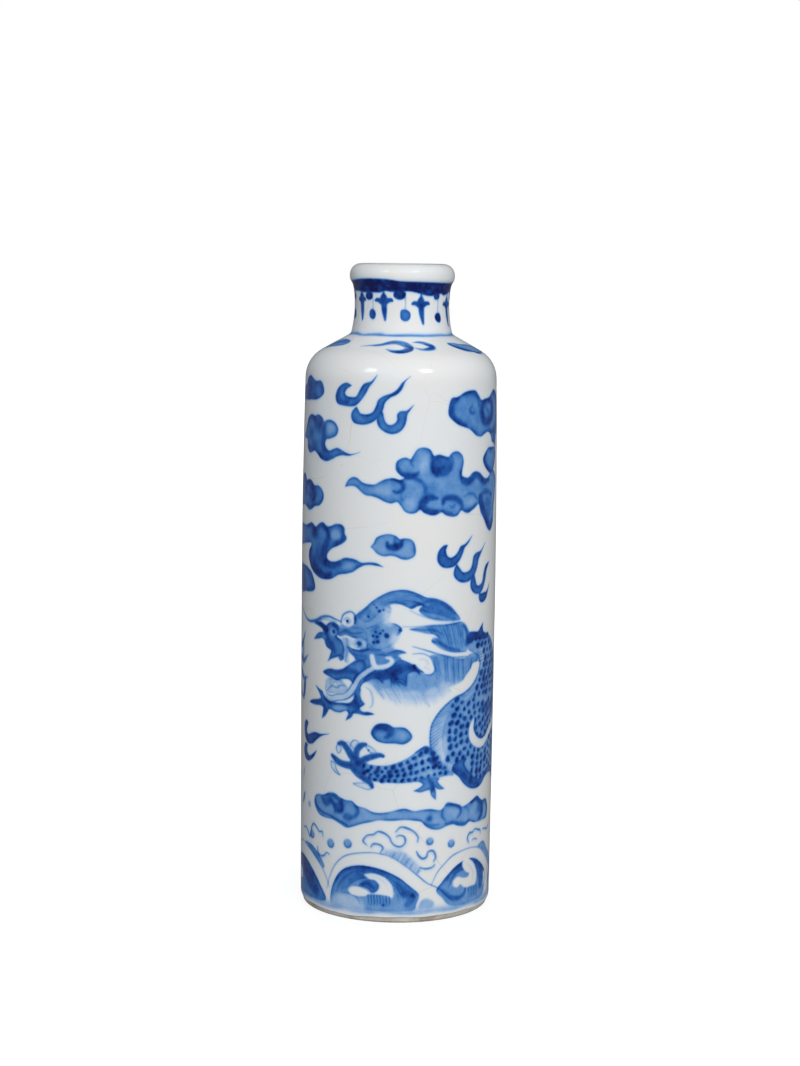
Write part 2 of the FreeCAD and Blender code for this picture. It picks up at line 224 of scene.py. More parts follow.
class Brush:
    # paints on the sheet in millimetres at a ring of the bottle, shifted, flipped or scaled as a whole
    def __init__(self, ring=sheet["wallRing"], dx=0.0, dy=0.0, flip=1, size=1.0):
        self.ring, self.dx, self.dy, self.flip, self.size = ring, dx, dy, flip, size

    def put(self, points):
        p = np.array(points, float)
        p[:, 0] = p[:, 0] * self.flip * self.size + self.dx
        p[:, 1] = p[:, 1] * self.size + self.dy
        return p

    def cells(self, low, high):
        # the rows and columns of the sheet that cover a box, and their places in millimetres
        r0 = max(0, int((low[1] - rowPlace[0]) / rowStep))
        r1 = min(sheet["rows"], math.ceil((high[1] - rowPlace[0]) / rowStep))
        c0 = math.floor(low[0] / self.ring / columnTurn)
        c1 = math.ceil(high[0] / self.ring / columnTurn)
        rows, columns = np.arange(r0, r1 + 1), np.arange(c0, c1 + 1)
        return rows, columns + halfRound, columns * columnTurn * self.ring, rowPlace[rows]

    def depth(self, curve, halfWidths, reach):
        # how deep each cell lies inside a line whose half width changes along it
        rows, columns, x, y = self.cells(curve.min(0) - reach, curve.max(0) + reach)
        depth = np.full((len(rows), len(columns)), -9.0, np.float32)
        for a, b, wa, wb in zip(curve[:-1], curve[1:], halfWidths[:-1], halfWidths[1:]):
            lo, hi = np.minimum(a, b) - reach, np.maximum(a, b) + reach
            i0, i1 = np.searchsorted(x, (lo[0], hi[0]))
            j0, j1 = np.searchsorted(y, (lo[1], hi[1]))
            if i1 <= i0 or j1 <= j0:
                continue
            dx, dy = x[None, i0:i1] - a[0], y[j0:j1, None] - a[1]
            vx, vy = b - a
            share = np.clip((dx * vx + dy * vy) / max(vx * vx + vy * vy, 1e-12), 0, 1)
            gap = np.hypot(dx - share * vx, dy - share * vy)
            part = depth[j0:j1, i0:i1]
            np.maximum(part, wa + (wb - wa) * share - gap, out=part)
        return rows, columns, x, y, depth

    def settle(self, rows, columns, layer, how):
        # lays one layer: over what is there, level with it, only where paint is, or wiped out
        if not len(rows):
            return
        if len(columns) > sheet["columns"]:  # more than once round: one turn at a time
            for part in (slice(None, sheet["columns"]), slice(sheet["columns"], None)):
                self.settle(rows, columns[part], layer[:, part], how)
            return
        index = np.ix_(rows, columns % sheet["columns"])
        old = paint[index]
        if how == "wipe":
            new = old * (1 - layer)
        elif how == "level":
            new = np.maximum(old, layer)
        elif how == "deepen":
            new = 1 - (1 - old) * (1 - layer * smoothStep(old, *cobalt["wetted"]))
        else:
            new = 1 - (1 - old) * (1 - layer)
        paint[index] = new

    def stroke(self, points, width, tone=0.8, soft=0.08, how="over"):
        # one pass of a loaded brush; width is the half width, one value or several spread along it
        curve = softCurve(self.put(points))
        along = np.concatenate([[0], np.cumsum(np.hypot(*np.diff(curve, axis=0).T))])
        width = np.atleast_1d(width)
        widths = np.interp(along, np.linspace(0, along[-1], len(width)), width)
        widths = widths * self.size
        rows, columns, x, y, depth = self.depth(curve, widths, widths.max() + soft)
        self.settle(rows, columns, smoothStep(depth, -soft, soft) * tone, how)

    def wash(self, points, tone=0.5, rim=0.26, rimWidth=0.32, soft=0.11, lean=(0, 0), how="level"):
        # a filled shape: the paint pools towards its rim, and towards one side by lean
        curve = softCurve(self.put(points), closed=True)
        loop = np.concatenate([curve, curve[:1]])
        reach = rimWidth * 3 + soft
        rows, columns, x, y, depth = self.depth(loop, np.zeros(len(loop)), reach)
        if not len(rows):
            return
        inside = np.zeros(depth.shape, bool)
        for (ax, ay), (bx, by) in zip(curve, loop[1:]):
            j0, j1 = np.searchsorted(y, (min(ay, by), max(ay, by)))
            if j1 > j0:
                crossing = ax + (y[j0:j1] - ay) * (bx - ax) / (by - ay)
                inside[j0:j1] ^= x[None, :] > crossing[:, None]
        gap = np.where(inside, -depth, depth)
        middle, size = (curve.max(0) + curve.min(0)) / 2, np.ptp(curve, 0) / 2
        tilt = lean[0] * self.flip * (x[None, :] - middle[0]) / size[0]
        tilt = tilt + lean[1] * (y[:, None] - middle[1]) / size[1]
        drift = chance.uniform(0, 6)
        across, up = cobalt["waver"]
        uneven = 1 + cobalt["uneven"] * np.sin(x[None, :] * across + drift) * np.sin(y[:, None] * up - drift)
        pooled = np.exp(-np.maximum(gap, 0) / (cobalt["poolFade"] * rimWidth))
        strength = tone * (1 + tilt) + cobalt["pooling"] * rim * uneven * pooled
        self.settle(rows, columns, smoothStep(gap, -soft, soft) * np.clip(strength, 0, 1), how)

    def dot(self, x, y, radius, tone=0.85, soft=0.08, how="over"):
        self.stroke([(x, y), (x + 0.02, y)], radius, tone, soft, how)

    def pool(self, x, y, radius, tone=0.35, tall=1.0):
        # a soft darker patch inside paint that is already there
        reach = radius * max(1, tall)
        ends = [(x, y - reach + radius), (x, y + reach - radius + 0.02)]
        self.stroke(ends, radius / 2, tone, radius / 2, "deepen")

    def shade(self, points, width, tone=0.4, soft=0.2):
        # a soft darker stroke inside paint that is already there
        self.stroke(points, width, tone, max(0.08, 0.7 * soft + 0.07), "deepen")

    def lift(self, points, share, soft):
        # a share of the paint wiped off a closed shape, with a soft edge
        self.wash(points, share, 0, soft=soft, how="wipe")

    def spare(self, points, soft=0.1):
        # a closed shape wiped back to the white ground
        self.wash(points, 1.0, 0.0, 0.1, soft, how="wipe")


# Clouds: mid-blue washes with darker rims, and soft curls where the brush went over them again.
def leftHighLobe(b):
    b.wash([(-17.6, 64.2), (-16.8, 65.0), (-15.9, 65.3), (-15.4, 66.0), (-14.3, 66.4), (-13.2, 66.0),
        (-12.5, 65.8), (-11.5, 65.9), (-10.9, 65.3), (-10.8, 64.5), (-11.5, 63.9), (-12.5, 63.6),
        (-13.7, 63.5), (-15.4, 63.4), (-16.8, 63.4)], 0.6)
    b.pool(-14.4, 65.1, 1.5, 0.6)
    b.shade([(-16.4, 64.4), (-14.8, 64.0), (-13.0, 64.1)], [0.2, 0.4, 0.2], 0.35, 0.3)
    b.shade([(-12.9, 65.4), (-12.1, 65.6), (-11.4, 65.2), (-11.3, 64.5)], [0.1, 0.2, 0.2, 0.1], 0.3, 0.15)


def leftHighCloud(b):
    b.wash([(-16.3, 58.9), (-15.8, 59.6), (-15.1, 60.6), (-14.6, 61.3), (-13.6, 61.7), (-12.6, 61.6),
        (-11.9, 61.8), (-11.0, 61.5), (-10.6, 61.0), (-10.2, 61.2), (-9.4, 61.3), (-8.6, 61.0),
        (-8.1, 60.3), (-8.4, 59.5), (-9.3, 59.1), (-10.1, 58.9), (-10.3, 58.2), (-9.6, 57.6), (-8.9, 57.8),
        (-8.2, 58.0), (-7.5, 57.8), (-6.8, 57.5), (-6.0, 57.4), (-4.9, 57.7), (-4.9, 57.7), (-6.3, 57.2),
        (-7.4, 57.2), (-8.2, 57.0), (-9.0, 56.6), (-10.0, 56.3), (-11.0, 56.5), (-11.9, 57.1),
        (-12.7, 57.4), (-13.4, 57.1), (-14.2, 57.1), (-14.8, 57.8), (-15.0, 58.6), (-15.8, 58.7)], 0.54)
    b.pool(-11.6, 60.7, 1.5, 0.66)
    b.pool(-13.6, 59.4, 1.6, 0.3)
    b.pool(-12.6, 57.8, 1.3, 0.35)
    b.shade([(-14.9, 60.6), (-14.0, 61.3), (-12.8, 61.2), (-12.3, 60.4)], [0.2, 0.35, 0.35, 0.2], 0.35)
    b.shade([(-10.5, 60.6), (-10.6, 59.6), (-10.7, 58.6), (-10.5, 57.7), (-9.7, 57.3)], [0.2, 0.35, 0.4,
        0.35, 0.15], 0.5)
    b.shade([(-14.6, 57.6), (-13.2, 57.6), (-11.6, 57.0), (-10.2, 56.7), (-9.0, 56.9)], [0.3, 0.3, 0.35,
        0.35, 0.15], 0.4)
    b.lift([(-9.9, 60.8), (-9.0, 60.9), (-8.6, 60.2), (-9.4, 59.6), (-10.0, 59.9)], 0.4, 0.4)


def rightHighCloud(b):
    b.wash([(6.1, 62.2), (6.1, 63.2), (6.5, 64.2), (7.3, 64.3), (8.3, 64.8), (9.2, 65.0), (10.3, 65.0),
        (11.0, 64.4), (11.6, 63.8), (12.6, 63.9), (13.5, 64.0), (14.3, 64.5), (15.3, 64.9), (16.4, 64.4),
        (17.4, 63.4), (18.2, 61.8), (17.6, 60.2), (16.4, 59.3), (15.9, 58.0), (15.1, 57.9), (14.3, 57.9),
        (13.3, 57.9), (12.5, 57.3), (12.0, 56.6), (12.4, 55.8), (13.1, 55.2), (14.0, 54.8), (15.0, 55.2),
        (15.9, 56.4), (16.0, 57.6), (15.2, 58.4), (14.5, 58.6), (14.0, 59.5), (13.2, 59.9), (12.3, 59.7),
        (11.4, 59.4), (10.5, 59.6), (9.8, 60.1), (9.3, 60.4), (8.5, 60.7), (7.6, 61.0), (6.8, 61.5)], 0.5,
        0.36)
    b.shade([(7.4, 64.2), (6.6, 63.6), (6.4, 62.8), (6.7, 62.0), (7.4, 61.4), (8.6, 60.9)], [0.2, 0.4, 0.4,
        0.35, 0.35, 0.2], 0.55, 0.25)
    b.shade([(8.2, 64.5), (9.2, 64.8), (10.2, 64.7), (10.8, 64.1), (11.1, 63.2)], [0.1, 0.25, 0.3, 0.25,
        0.15], 0.35)
    b.shade([(9.7, 63.2), (9.3, 62.7), (9.7, 62.3), (10.3, 62.4)], [0.08, 0.12, 0.12, 0.06], 0.4, 0.15)
    ring = [(11.6, 62.5), (12.0, 61.5), (13.1, 61.1), (14.2, 61.6), (14.6, 62.6), (14.1, 63.6),
        (13.0, 63.9), (12.0, 63.4), (11.7, 62.7)]
    b.shade(ring, [0.4, 0.5, 0.5, 0.5, 0.5, 0.4, 0.4, 0.4, 0.4], 0.62, 0.3)
    b.shade([(12.7, 62.9), (13.3, 62.4), (13.7, 61.9)], [0.15, 0.3, 0.15], 0.3, 0.3)
    b.shade([(14.9, 64.6), (16.2, 64.0), (16.9, 62.6), (16.2, 60.8), (15.0, 59.9), (13.4, 59.9)], [0.3, 0.4,
        0.4, 0.4, 0.3, 0.2], 0.4, 0.3)
    b.shade([(12.6, 57.3), (12.2, 56.6), (12.7, 55.7), (13.8, 55.1)], [0.2, 0.35, 0.35, 0.3], 0.6)
    b.shade([(15.6, 60.0), (15.2, 59.0), (15.4, 58.2)], [0.3, 0.3, 0.3], 0.4)


def bigCloud(b):
    b.wash([(-0.5, 56.0), (-0.3, 56.8), (0.6, 57.2), (1.3, 57.0), (1.6, 57.5), (2.1, 58.2), (2.9, 58.4),
        (3.7, 58.1), (4.1, 57.4), (4.8, 57.5), (5.5, 57.3), (6.1, 57.2), (6.6, 57.7), (7.4, 57.8),
        (8.1, 57.3), (8.3, 56.5), (8.1, 55.6), (8.0, 54.9), (8.6, 54.6), (9.2, 54.6), (9.8, 55.1),
        (10.6, 55.2), (11.4, 54.9), (12.1, 54.4), (12.9, 54.2), (13.6, 54.5), (14.5, 55.1), (15.4, 54.9),
        (16.2, 53.8), (16.0, 52.4), (15.4, 50.8), (15.2, 49.4), (14.9, 48.4), (14.1, 47.7), (13.2, 48.1),
        (12.3, 49.3), (11.5, 50.2), (11.1, 51.2), (10.4, 50.9), (9.8, 50.6), (9.2, 50.3), (8.6, 50.4),
        (8.0, 50.7), (7.4, 50.1), (6.6, 50.0), (5.8, 50.2), (5.2, 50.6), (4.5, 50.3), (3.8, 50.3),
        (3.0, 50.6), (2.5, 51.0), (2.0, 50.6), (1.3, 50.5), (0.6, 50.8), (0.1, 51.5), (-0.3, 51.9),
        (-1.0, 51.7), (-1.8, 51.9), (-2.6, 52.3), (-3.4, 52.5), (-4.2, 52.6), (-4.9, 53.1), (-5.4, 53.5),
        (-6.1, 53.6), (-6.9, 53.4), (-6.9, 53.4), (-6.6, 54.1), (-6.0, 54.6), (-5.3, 54.6), (-4.6, 54.1),
        (-3.9, 53.9), (-3.0, 53.9), (-2.3, 54.3), (-1.6, 54.6), (-0.8, 54.7), (0.0, 54.5), (0.6, 54.8),
        (0.1, 55.1), (-0.4, 55.6)], 0.45, 0.3)
    b.pool(3.6, 53.2, 1.6, 0.2)
    b.pool(13.4, 50.6, 1.8, 0.35, 1.3)
    b.pool(12.0, 53.6, 1.4, 0.2)
    b.shade([(-0.2, 55.9), (0.1, 55.3), (0.9, 55.0), (1.8, 55.1), (2.3, 55.5)], [0.15, 0.3, 0.38, 0.3, 0.1],
        0.6, 0.18)
    b.shade([(1.5, 57.2), (1.3, 56.6), (1.6, 56.2)], [0.12, 0.15, 0.08], 0.35, 0.14)
    b.shade([(4.0, 57.5), (3.9, 56.7), (4.0, 55.7), (4.5, 55.0)], [0.15, 0.25, 0.3, 0.2], 0.45, 0.18)
    b.wash(blob(5.15, 56.15, 1.4, 1.3, wobble=0.05), 0.4, 0.16, 0.3, 0.22, how="deepen")
    b.pool(4.9, 55.8, 1.0, 0.4)
    b.shade([(6.4, 57.4), (6.7, 56.6), (6.5, 55.6)], [0.1, 0.14, 0.08], 0.3, 0.12)
    b.shade([(-1.0, 54.6), (-0.2, 54.5), (0.4, 54.0), (0.3, 53.3), (-0.3, 53.0), (-0.8, 53.2)], [0.1, 0.2,
        0.28, 0.26, 0.2, 0.1], 0.55, 0.14)
    b.shade([(0.7, 54.8), (1.7, 54.7), (2.6, 54.3), (3.1, 53.6), (3.0, 52.8)], [0.1, 0.2, 0.22, 0.2, 0.1],
        0.4, 0.15)
    b.shade([(0.2, 52.8), (0.3, 52.1), (0.7, 52.6)], [0.05, 0.12, 0.05], 0.3, 0.12)
    b.shade([(4.6, 52.3), (3.6, 52.4), (2.9, 51.9), (2.8, 51.2), (3.5, 50.7), (4.6, 50.7)], [0.15, 0.4,
        0.48, 0.45, 0.4, 0.25], 0.6)
    b.shade([(5.4, 51.6), (5.6, 52.2), (6.6, 52.3), (7.6, 51.9), (8.1, 51.2), (7.9, 50.7)], [0.2, 0.3, 0.34,
        0.34, 0.3, 0.15], 0.58, 0.18)
    b.shade([(5.2, 50.7), (5.9, 50.5), (6.6, 50.4)], [0.15, 0.2, 0.1], 0.45, 0.15)
    b.shade([(6.2, 51.4), (6.7, 51.1), (7.1, 51.4)], [0.06, 0.12, 0.06], 0.35, 0.12)
    b.shade([(8.4, 52.3), (9.2, 52.6), (10.1, 52.5), (10.7, 51.9)], [0.08, 0.15, 0.18, 0.1], 0.35, 0.15)
    b.shade([(8.2, 50.7), (9.0, 50.6), (9.8, 50.8), (10.6, 51.3)], [0.1, 0.2, 0.2, 0.1], 0.4, 0.15)
    b.shade([(7.9, 55.2), (8.2, 54.4), (8.9, 54.0), (9.6, 54.3), (10.5, 54.8), (11.4, 54.4), (12.3, 53.8),
        (13.5, 54.0)], [0.25, 0.4, 0.42, 0.35, 0.4, 0.35, 0.25, 0.2], 0.55)
    b.shade([(11.4, 52.0), (11.7, 51.2), (12.2, 50.2), (13.0, 49.0), (14.0, 48.2), (14.7, 48.9)], [0.4, 0.5,
        0.45, 0.45, 0.45, 0.3], 0.6, 0.25)
    b.shade([(11.4, 52.2), (12.4, 52.6), (13.5, 52.5), (14.5, 52.1)], [0.2, 0.3, 0.3, 0.2], 0.45)
    b.lift([(2.2, 56.6), (2.9, 57.4), (3.6, 56.9), (3.6, 55.8), (3.0, 55.2), (2.4, 55.7)], 0.3, 0.5)
    b.lift([(0.6, 51.6), (1.2, 52.2), (1.9, 52.0), (1.9, 51.1), (1.2, 50.9)], 0.25, 0.4)
    b.lift([(-3.4, 53.4), (-2.0, 53.7), (-1.1, 53.6), (-1.3, 52.6), (-2.6, 52.8)], 0.25, 0.4)
    b.lift([(9.0, 51.4), (9.7, 52.0), (10.4, 51.8), (9.8, 51.1)], 0.3, 0.35)


def leftLobe(b):
    b.wash([(-17.9, 53.0), (-16.8, 54.0), (-15.8, 54.3), (-15.2, 54.0), (-14.8, 53.5), (-14.0, 53.7),
        (-13.2, 53.6), (-12.5, 53.1), (-11.7, 53.2), (-10.9, 52.9), (-10.4, 52.2), (-10.6, 51.4),
        (-11.3, 50.8), (-12.3, 50.6), (-13.1, 50.2), (-13.9, 50.0), (-14.8, 50.3), (-15.8, 50.5),
        (-16.8, 50.3), (-17.9, 50.8), (-18.4, 51.9)], 0.54)
    b.shade([(-14.6, 53.4), (-13.4, 53.3), (-12.5, 52.6), (-12.4, 51.8), (-12.9, 51.2)], [0.3, 0.45, 0.5,
        0.4, 0.2], 0.6, 0.22)
    b.pool(-13.4, 52.2, 1.6, 0.5)
    b.shade([(-15.9, 53.9), (-15.3, 53.0), (-15.2, 51.8)], [0.5, 0.6, 0.4], 0.4, 0.4)
    b.shade([(-14.6, 50.5), (-13.4, 50.4), (-12.0, 50.9)], [0.2, 0.3, 0.15], 0.4)


def leftTailCloud(b):
    b.wash([(-18.1, 47.8), (-16.6, 48.0), (-15.2, 48.0), (-14.0, 48.2), (-13.0, 48.5), (-12.0, 48.1),
        (-11.3, 48.5), (-10.5, 48.8), (-9.7, 48.4), (-9.0, 48.5), (-8.2, 48.8), (-7.4, 48.8), (-6.9, 48.4),
        (-6.9, 47.8), (-6.6, 47.2), (-7.1, 46.6), (-7.9, 46.2), (-8.8, 45.8), (-9.5, 45.2), (-9.7, 44.6),
        (-9.2, 44.2), (-8.3, 44.2), (-7.5, 44.5), (-6.8, 44.8), (-6.0, 44.8), (-5.3, 44.7), (-4.5, 44.4),
        (-3.5, 44.5), (-2.6, 44.4), (-1.8, 44.0), (-1.8, 44.0), (-3.2, 44.2), (-4.2, 44.1), (-5.0, 43.7),
        (-5.7, 43.2), (-6.7, 42.9), (-7.7, 42.7), (-8.8, 42.1), (-10.0, 41.9), (-11.2, 42.0), (-12.3, 42.5),
        (-13.2, 43.2), (-13.7, 44.2), (-13.6, 45.0), (-13.1, 45.6), (-13.2, 46.0), (-14.2, 45.9),
        (-15.4, 45.7), (-16.8, 45.4), (-18.0, 45.2), (-18.9, 45.8), (-18.8, 46.9)], 0.55)
    b.pool(-12.2, 47.3, 1.3, 0.66)
    b.pool(-11.4, 44.2, 2.2, 0.4)
    b.pool(-12.6, 43.6, 1.2, 0.3)
    b.shade([(-14.2, 48.0), (-13.0, 48.2), (-12.0, 47.6)], [0.2, 0.35, 0.3], 0.35)
    b.shade([(-11.6, 48.1), (-10.6, 48.4), (-9.8, 48.0), (-9.4, 47.2), (-9.8, 46.2), (-10.3, 45.2),
        (-10.0, 44.2), (-8.9, 43.8), (-7.6, 44.1)], [0.15, 0.25, 0.3, 0.35, 0.45, 0.6, 0.55, 0.45, 0.25],
        0.6, 0.25)
    b.shade([(-13.4, 45.4), (-13.4, 44.4), (-12.8, 43.4), (-11.6, 42.8), (-10.3, 42.4), (-9.0, 42.6)], [0.4,
        0.5, 0.6, 0.6, 0.4, 0.25], 0.6, 0.28)
    b.shade([(-7.4, 48.6), (-7.1, 47.8), (-7.4, 46.9), (-8.4, 46.4)], [0.12, 0.22, 0.22, 0.12], 0.4, 0.15)
    b.lift([(-8.6, 48.1), (-7.8, 48.0), (-7.6, 47.2), (-8.6, 46.9), (-9.0, 47.5)], 0.35, 0.35)
    b.lift([(-6.6, 44.3), (-5.4, 44.2), (-5.8, 43.6), (-7.0, 43.4)], 0.25, 0.35)


def leftLowLobe(b):
    b.wash([(-17.6, 42.0), (-16.8, 43.0), (-15.8, 43.0), (-15.0, 43.0), (-14.0, 42.8), (-13.0, 42.4),
        (-12.3, 41.5), (-12.0, 40.6), (-12.6, 40.1), (-13.8, 39.9), (-15.0, 39.8), (-16.2, 39.5),
        (-17.4, 39.9), (-18.0, 41.0)], 0.55)
    b.shade([(-16.4, 42.8), (-15.8, 41.4), (-15.6, 40.2)], [0.6, 0.9, 0.6], 0.45, 0.6)
    b.shade([(-14.6, 42.6), (-13.4, 42.1), (-12.7, 41.2)], [0.2, 0.3, 0.2], 0.3, 0.3)
    b.shade([(-12.9, 42.2), (-12.4, 41.2), (-12.5, 40.5), (-14.0, 40.2)], [0.15, 0.25, 0.25, 0.15], 0.4)


def smallCloud(b):
    b.wash([(-3.4, 46.4), (-3.0, 46.9), (-2.7, 47.5), (-1.9, 47.9), (-1.1, 48.0), (-0.4, 47.8), (0.1, 47.4),
        (0.7, 47.5), (1.4, 47.4), (1.8, 47.0), (2.0, 46.2), (1.9, 45.4), (1.2, 45.0), (0.4, 45.0),
        (-0.3, 45.3), (-1.0, 45.4), (-1.8, 45.3), (-2.6, 45.6), (-3.1, 46.1)], 0.38, 0.34)
    b.shade([(-1.4, 47.0), (-1.3, 46.5), (-0.6, 46.4), (0.1, 46.7), (0.4, 47.2)], [0.15, 0.3, 0.45, 0.4,
        0.15], 0.62, 0.16)
    b.shade([(-0.5, 47.5), (-0.5, 46.9), (-0.3, 46.3)], [0.1, 0.2, 0.3], 0.4, 0.15)


def twinCloud(b):
    b.wash([(-3.1, 23.8), (-2.8, 24.4), (-2.3, 24.8), (-1.6, 24.9), (-1.0, 24.8), (-0.4, 24.5), (0.3, 24.5),
        (1.0, 24.4), (1.6, 23.9), (1.9, 23.3), (1.6, 22.8), (0.8, 22.4), (-0.2, 22.5), (-1.4, 22.5),
        (-2.3, 22.7), (-2.9, 23.2)], 0.46, 0.36)
    b.shade([(-2.4, 24.4), (-1.4, 24.5), (-0.7, 24.1), (-0.9, 23.5), (-1.3, 23.2)], [0.3, 0.4, 0.45, 0.4,
        0.2], 0.5, 0.25)
    b.shade([(-2.8, 23.8), (-2.2, 24.3), (-1.4, 24.3)], [0.2, 0.3, 0.3], 0.3)
    b.lift([(0.2, 24.0), (1.0, 23.9), (1.3, 23.3), (0.5, 23.0), (0.1, 23.4)], 0.2, 0.35)


def longCloud(b):
    b.wash([(-11.9, 13.9), (-11.6, 14.7), (-10.9, 15.0), (-10.2, 15.0), (-9.6, 15.2), (-8.9, 15.6),
        (-8.0, 15.6), (-7.2, 15.2), (-6.3, 15.0), (-5.5, 15.0), (-4.9, 14.5), (-3.8, 14.3), (-2.9, 13.9),
        (-1.9, 13.8), (-0.8, 14.0), (0.3, 14.3), (1.2, 14.4), (2.2, 14.1), (3.2, 14.2), (4.4, 14.2),
        (5.4, 14.0), (5.9, 14.1), (6.6, 14.8), (7.5, 14.6), (8.4, 14.3), (9.0, 14.0), (10.0, 14.2),
        (10.9, 14.5), (11.8, 14.8), (12.6, 14.3), (13.2, 14.0), (14.2, 14.0), (14.8, 13.4), (15.1, 12.5),
        (14.7, 11.6), (13.5, 11.5), (12.4, 11.5), (11.3, 11.6), (10.3, 11.9), (9.4, 11.5), (8.3, 11.7),
        (7.5, 12.0), (6.6, 11.9), (5.6, 11.6), (4.6, 11.7), (3.8, 12.1), (3.2, 12.7), (2.4, 12.9),
        (1.2, 13.0), (-0.9, 12.9), (-2.0, 12.9), (-3.1, 12.6), (-4.2, 12.3), (-5.2, 11.9), (-6.3, 11.6),
        (-7.4, 12.0), (-8.4, 12.3), (-9.7, 12.3), (-10.8, 12.5), (-11.6, 13.2)], 0.36, 0.34, 0.3)
    b.wash([(-11.7, 13.9), (-10.6, 14.8), (-9.2, 15.3), (-7.6, 15.2), (-6.2, 14.7), (-4.9, 14.2),
        (-4.9, 12.9), (-6.2, 12.0), (-8.0, 12.5), (-10.2, 12.6), (-11.4, 13.2)], 0.12, 0, soft=0.4,
        how="over")
    b.shade([(-10.2, 14.6), (-9.5, 14.3), (-8.8, 14.6), (-8.2, 14.3)], [0.2, 0.5, 0.45, 0.2], 0.5)
    b.shade([(-10.4, 15.0), (-9.2, 15.3), (-8.0, 15.2), (-7.0, 14.4), (-6.9, 13.6)], [0.1, 0.16, 0.2, 0.2,
        0.1], 0.5, 0.08)
    b.wash(blob(-7.6, 13.95, 0.72, 0.55, wobble=0.1), 0.55, 0.1, 0.2, 0.2, how="deepen")
    b.wash(blob(-6.1, 12.95, 0.65, 0.45, wobble=0.1), 0.35, 0.1, 0.2, 0.2, how="deepen")
    b.shade([(-11.6, 14.2), (-11.3, 13.4), (-10.2, 12.9), (-8.8, 12.7), (-7.4, 12.3), (-6.2, 11.9)], [0.1,
        0.16, 0.14, 0.1, 0.14, 0.1], 0.5, 0.05)
    b.shade([(-7.0, 15.0), (-6.9, 14.2), (-7.2, 13.5), (-8.0, 13.4)], [0.15, 0.3, 0.3, 0.2], 0.45, 0.18)
    b.shade([(-5.1, 14.6), (-4.7, 13.9), (-5.0, 13.2), (-5.8, 12.7)], [0.15, 0.22, 0.22, 0.12], 0.4, 0.15)
    b.pool(4.2, 13.0, 0.75, 0.62)
    b.shade([(3.5, 12.5), (4.3, 12.2), (5.4, 12.2)], [0.15, 0.2, 0.15], 0.35, 0.15)
    b.shade([(6.0, 14.0), (5.9, 13.2), (6.4, 12.6)], [0.15, 0.2, 0.1], 0.35, 0.13)
    b.shade([(6.5, 14.5), (7.5, 14.4), (8.5, 14.0), (8.7, 13.3), (8.2, 12.7)], [0.12, 0.2, 0.22, 0.2, 0.1],
        0.45, 0.13)
    b.shade([(6.4, 12.2), (7.4, 12.3), (8.4, 12.0), (9.5, 11.8), (10.3, 12.1)], [0.1, 0.15, 0.2, 0.2, 0.1],
        0.4, 0.13)
    b.pool(12.4, 13.2, 1.4, 0.35)
    b.shade([(10.6, 14.3), (11.6, 14.6), (12.6, 14.1), (13.1, 13.2), (13.0, 12.2), (12.3, 11.8)], [0.2,
        0.35, 0.42, 0.42, 0.35, 0.15], 0.6)
    b.shade([(13.3, 13.8), (14.3, 13.7), (14.7, 12.8), (14.4, 11.9)], [0.12, 0.2, 0.22, 0.15], 0.4, 0.15)
    b.shade([(9.2, 13.9), (10.0, 13.6), (10.2, 12.8)], [0.08, 0.15, 0.08], 0.25, 0.15)


# Flames: short hooked strokes in a row, dark at the rim.
def flame(b, outer, inner, tone=0.56):
    b.wash(outer + outer[-1:] + inner + inner[-1:] + outer[:1], tone, 0.34, 0.24, 0.11)


def highFlames(b):
    flame(b, [(-6.2, 65.6), (-7.0, 65.9), (-7.9, 65.5), (-8.5, 64.7), (-8.6, 64.0), (-8.3, 63.4),
        (-7.6, 63.2), (-6.7, 63.1), (-5.8, 63.2), (-5.1, 63.7), (-4.4, 64.6), (-3.9, 65.5), (-3.4, 66.1),
        (-2.9, 67.0)], [(-3.6, 66.2), (-4.6, 65.8), (-5.2, 64.9), (-5.6, 64.3), (-6.2, 64.2), (-6.9, 64.3),
        (-7.2, 64.7), (-6.9, 65.2)])
    flame(b, [(-5.5, 63.1), (-6.1, 62.5), (-6.2, 61.8), (-5.8, 61.2), (-4.9, 61.0), (-4.0, 61.1),
        (-3.2, 61.5), (-2.4, 62.3), (-2.1, 63.0), (-1.9, 63.7), (-1.3, 64.3), (-0.5, 64.7), (0.1, 65.3),
        (0.5, 66.2), (1.2, 66.9)], [(0.2, 66.1), (-0.4, 65.3), (-1.1, 64.8), (-2.0, 64.5), (-2.7, 64.0),
        (-3.0, 63.2), (-3.4, 62.5), (-4.2, 62.2), (-5.0, 62.3)], 0.56)
    flame(b, [(-2.4, 62.9), (-2.8, 62.2), (-2.8, 61.3), (-2.5, 60.7), (-1.8, 60.2), (-1.0, 60.0),
        (-0.2, 60.2), (0.4, 60.8), (0.7, 61.6), (0.8, 62.3), (1.1, 62.8), (1.6, 63.5)], [(0.8, 62.8),
        (0.0, 62.7), (-0.4, 62.3), (-0.4, 61.6), (-0.9, 61.1), (-1.5, 61.1), (-1.9, 61.6), (-2.1, 62.4)],
        0.54)
    b.shade([(-8.1, 65.2), (-8.3, 64.3), (-7.9, 63.6), (-6.8, 63.6)], [0.15, 0.3, 0.35, 0.2], 0.45)


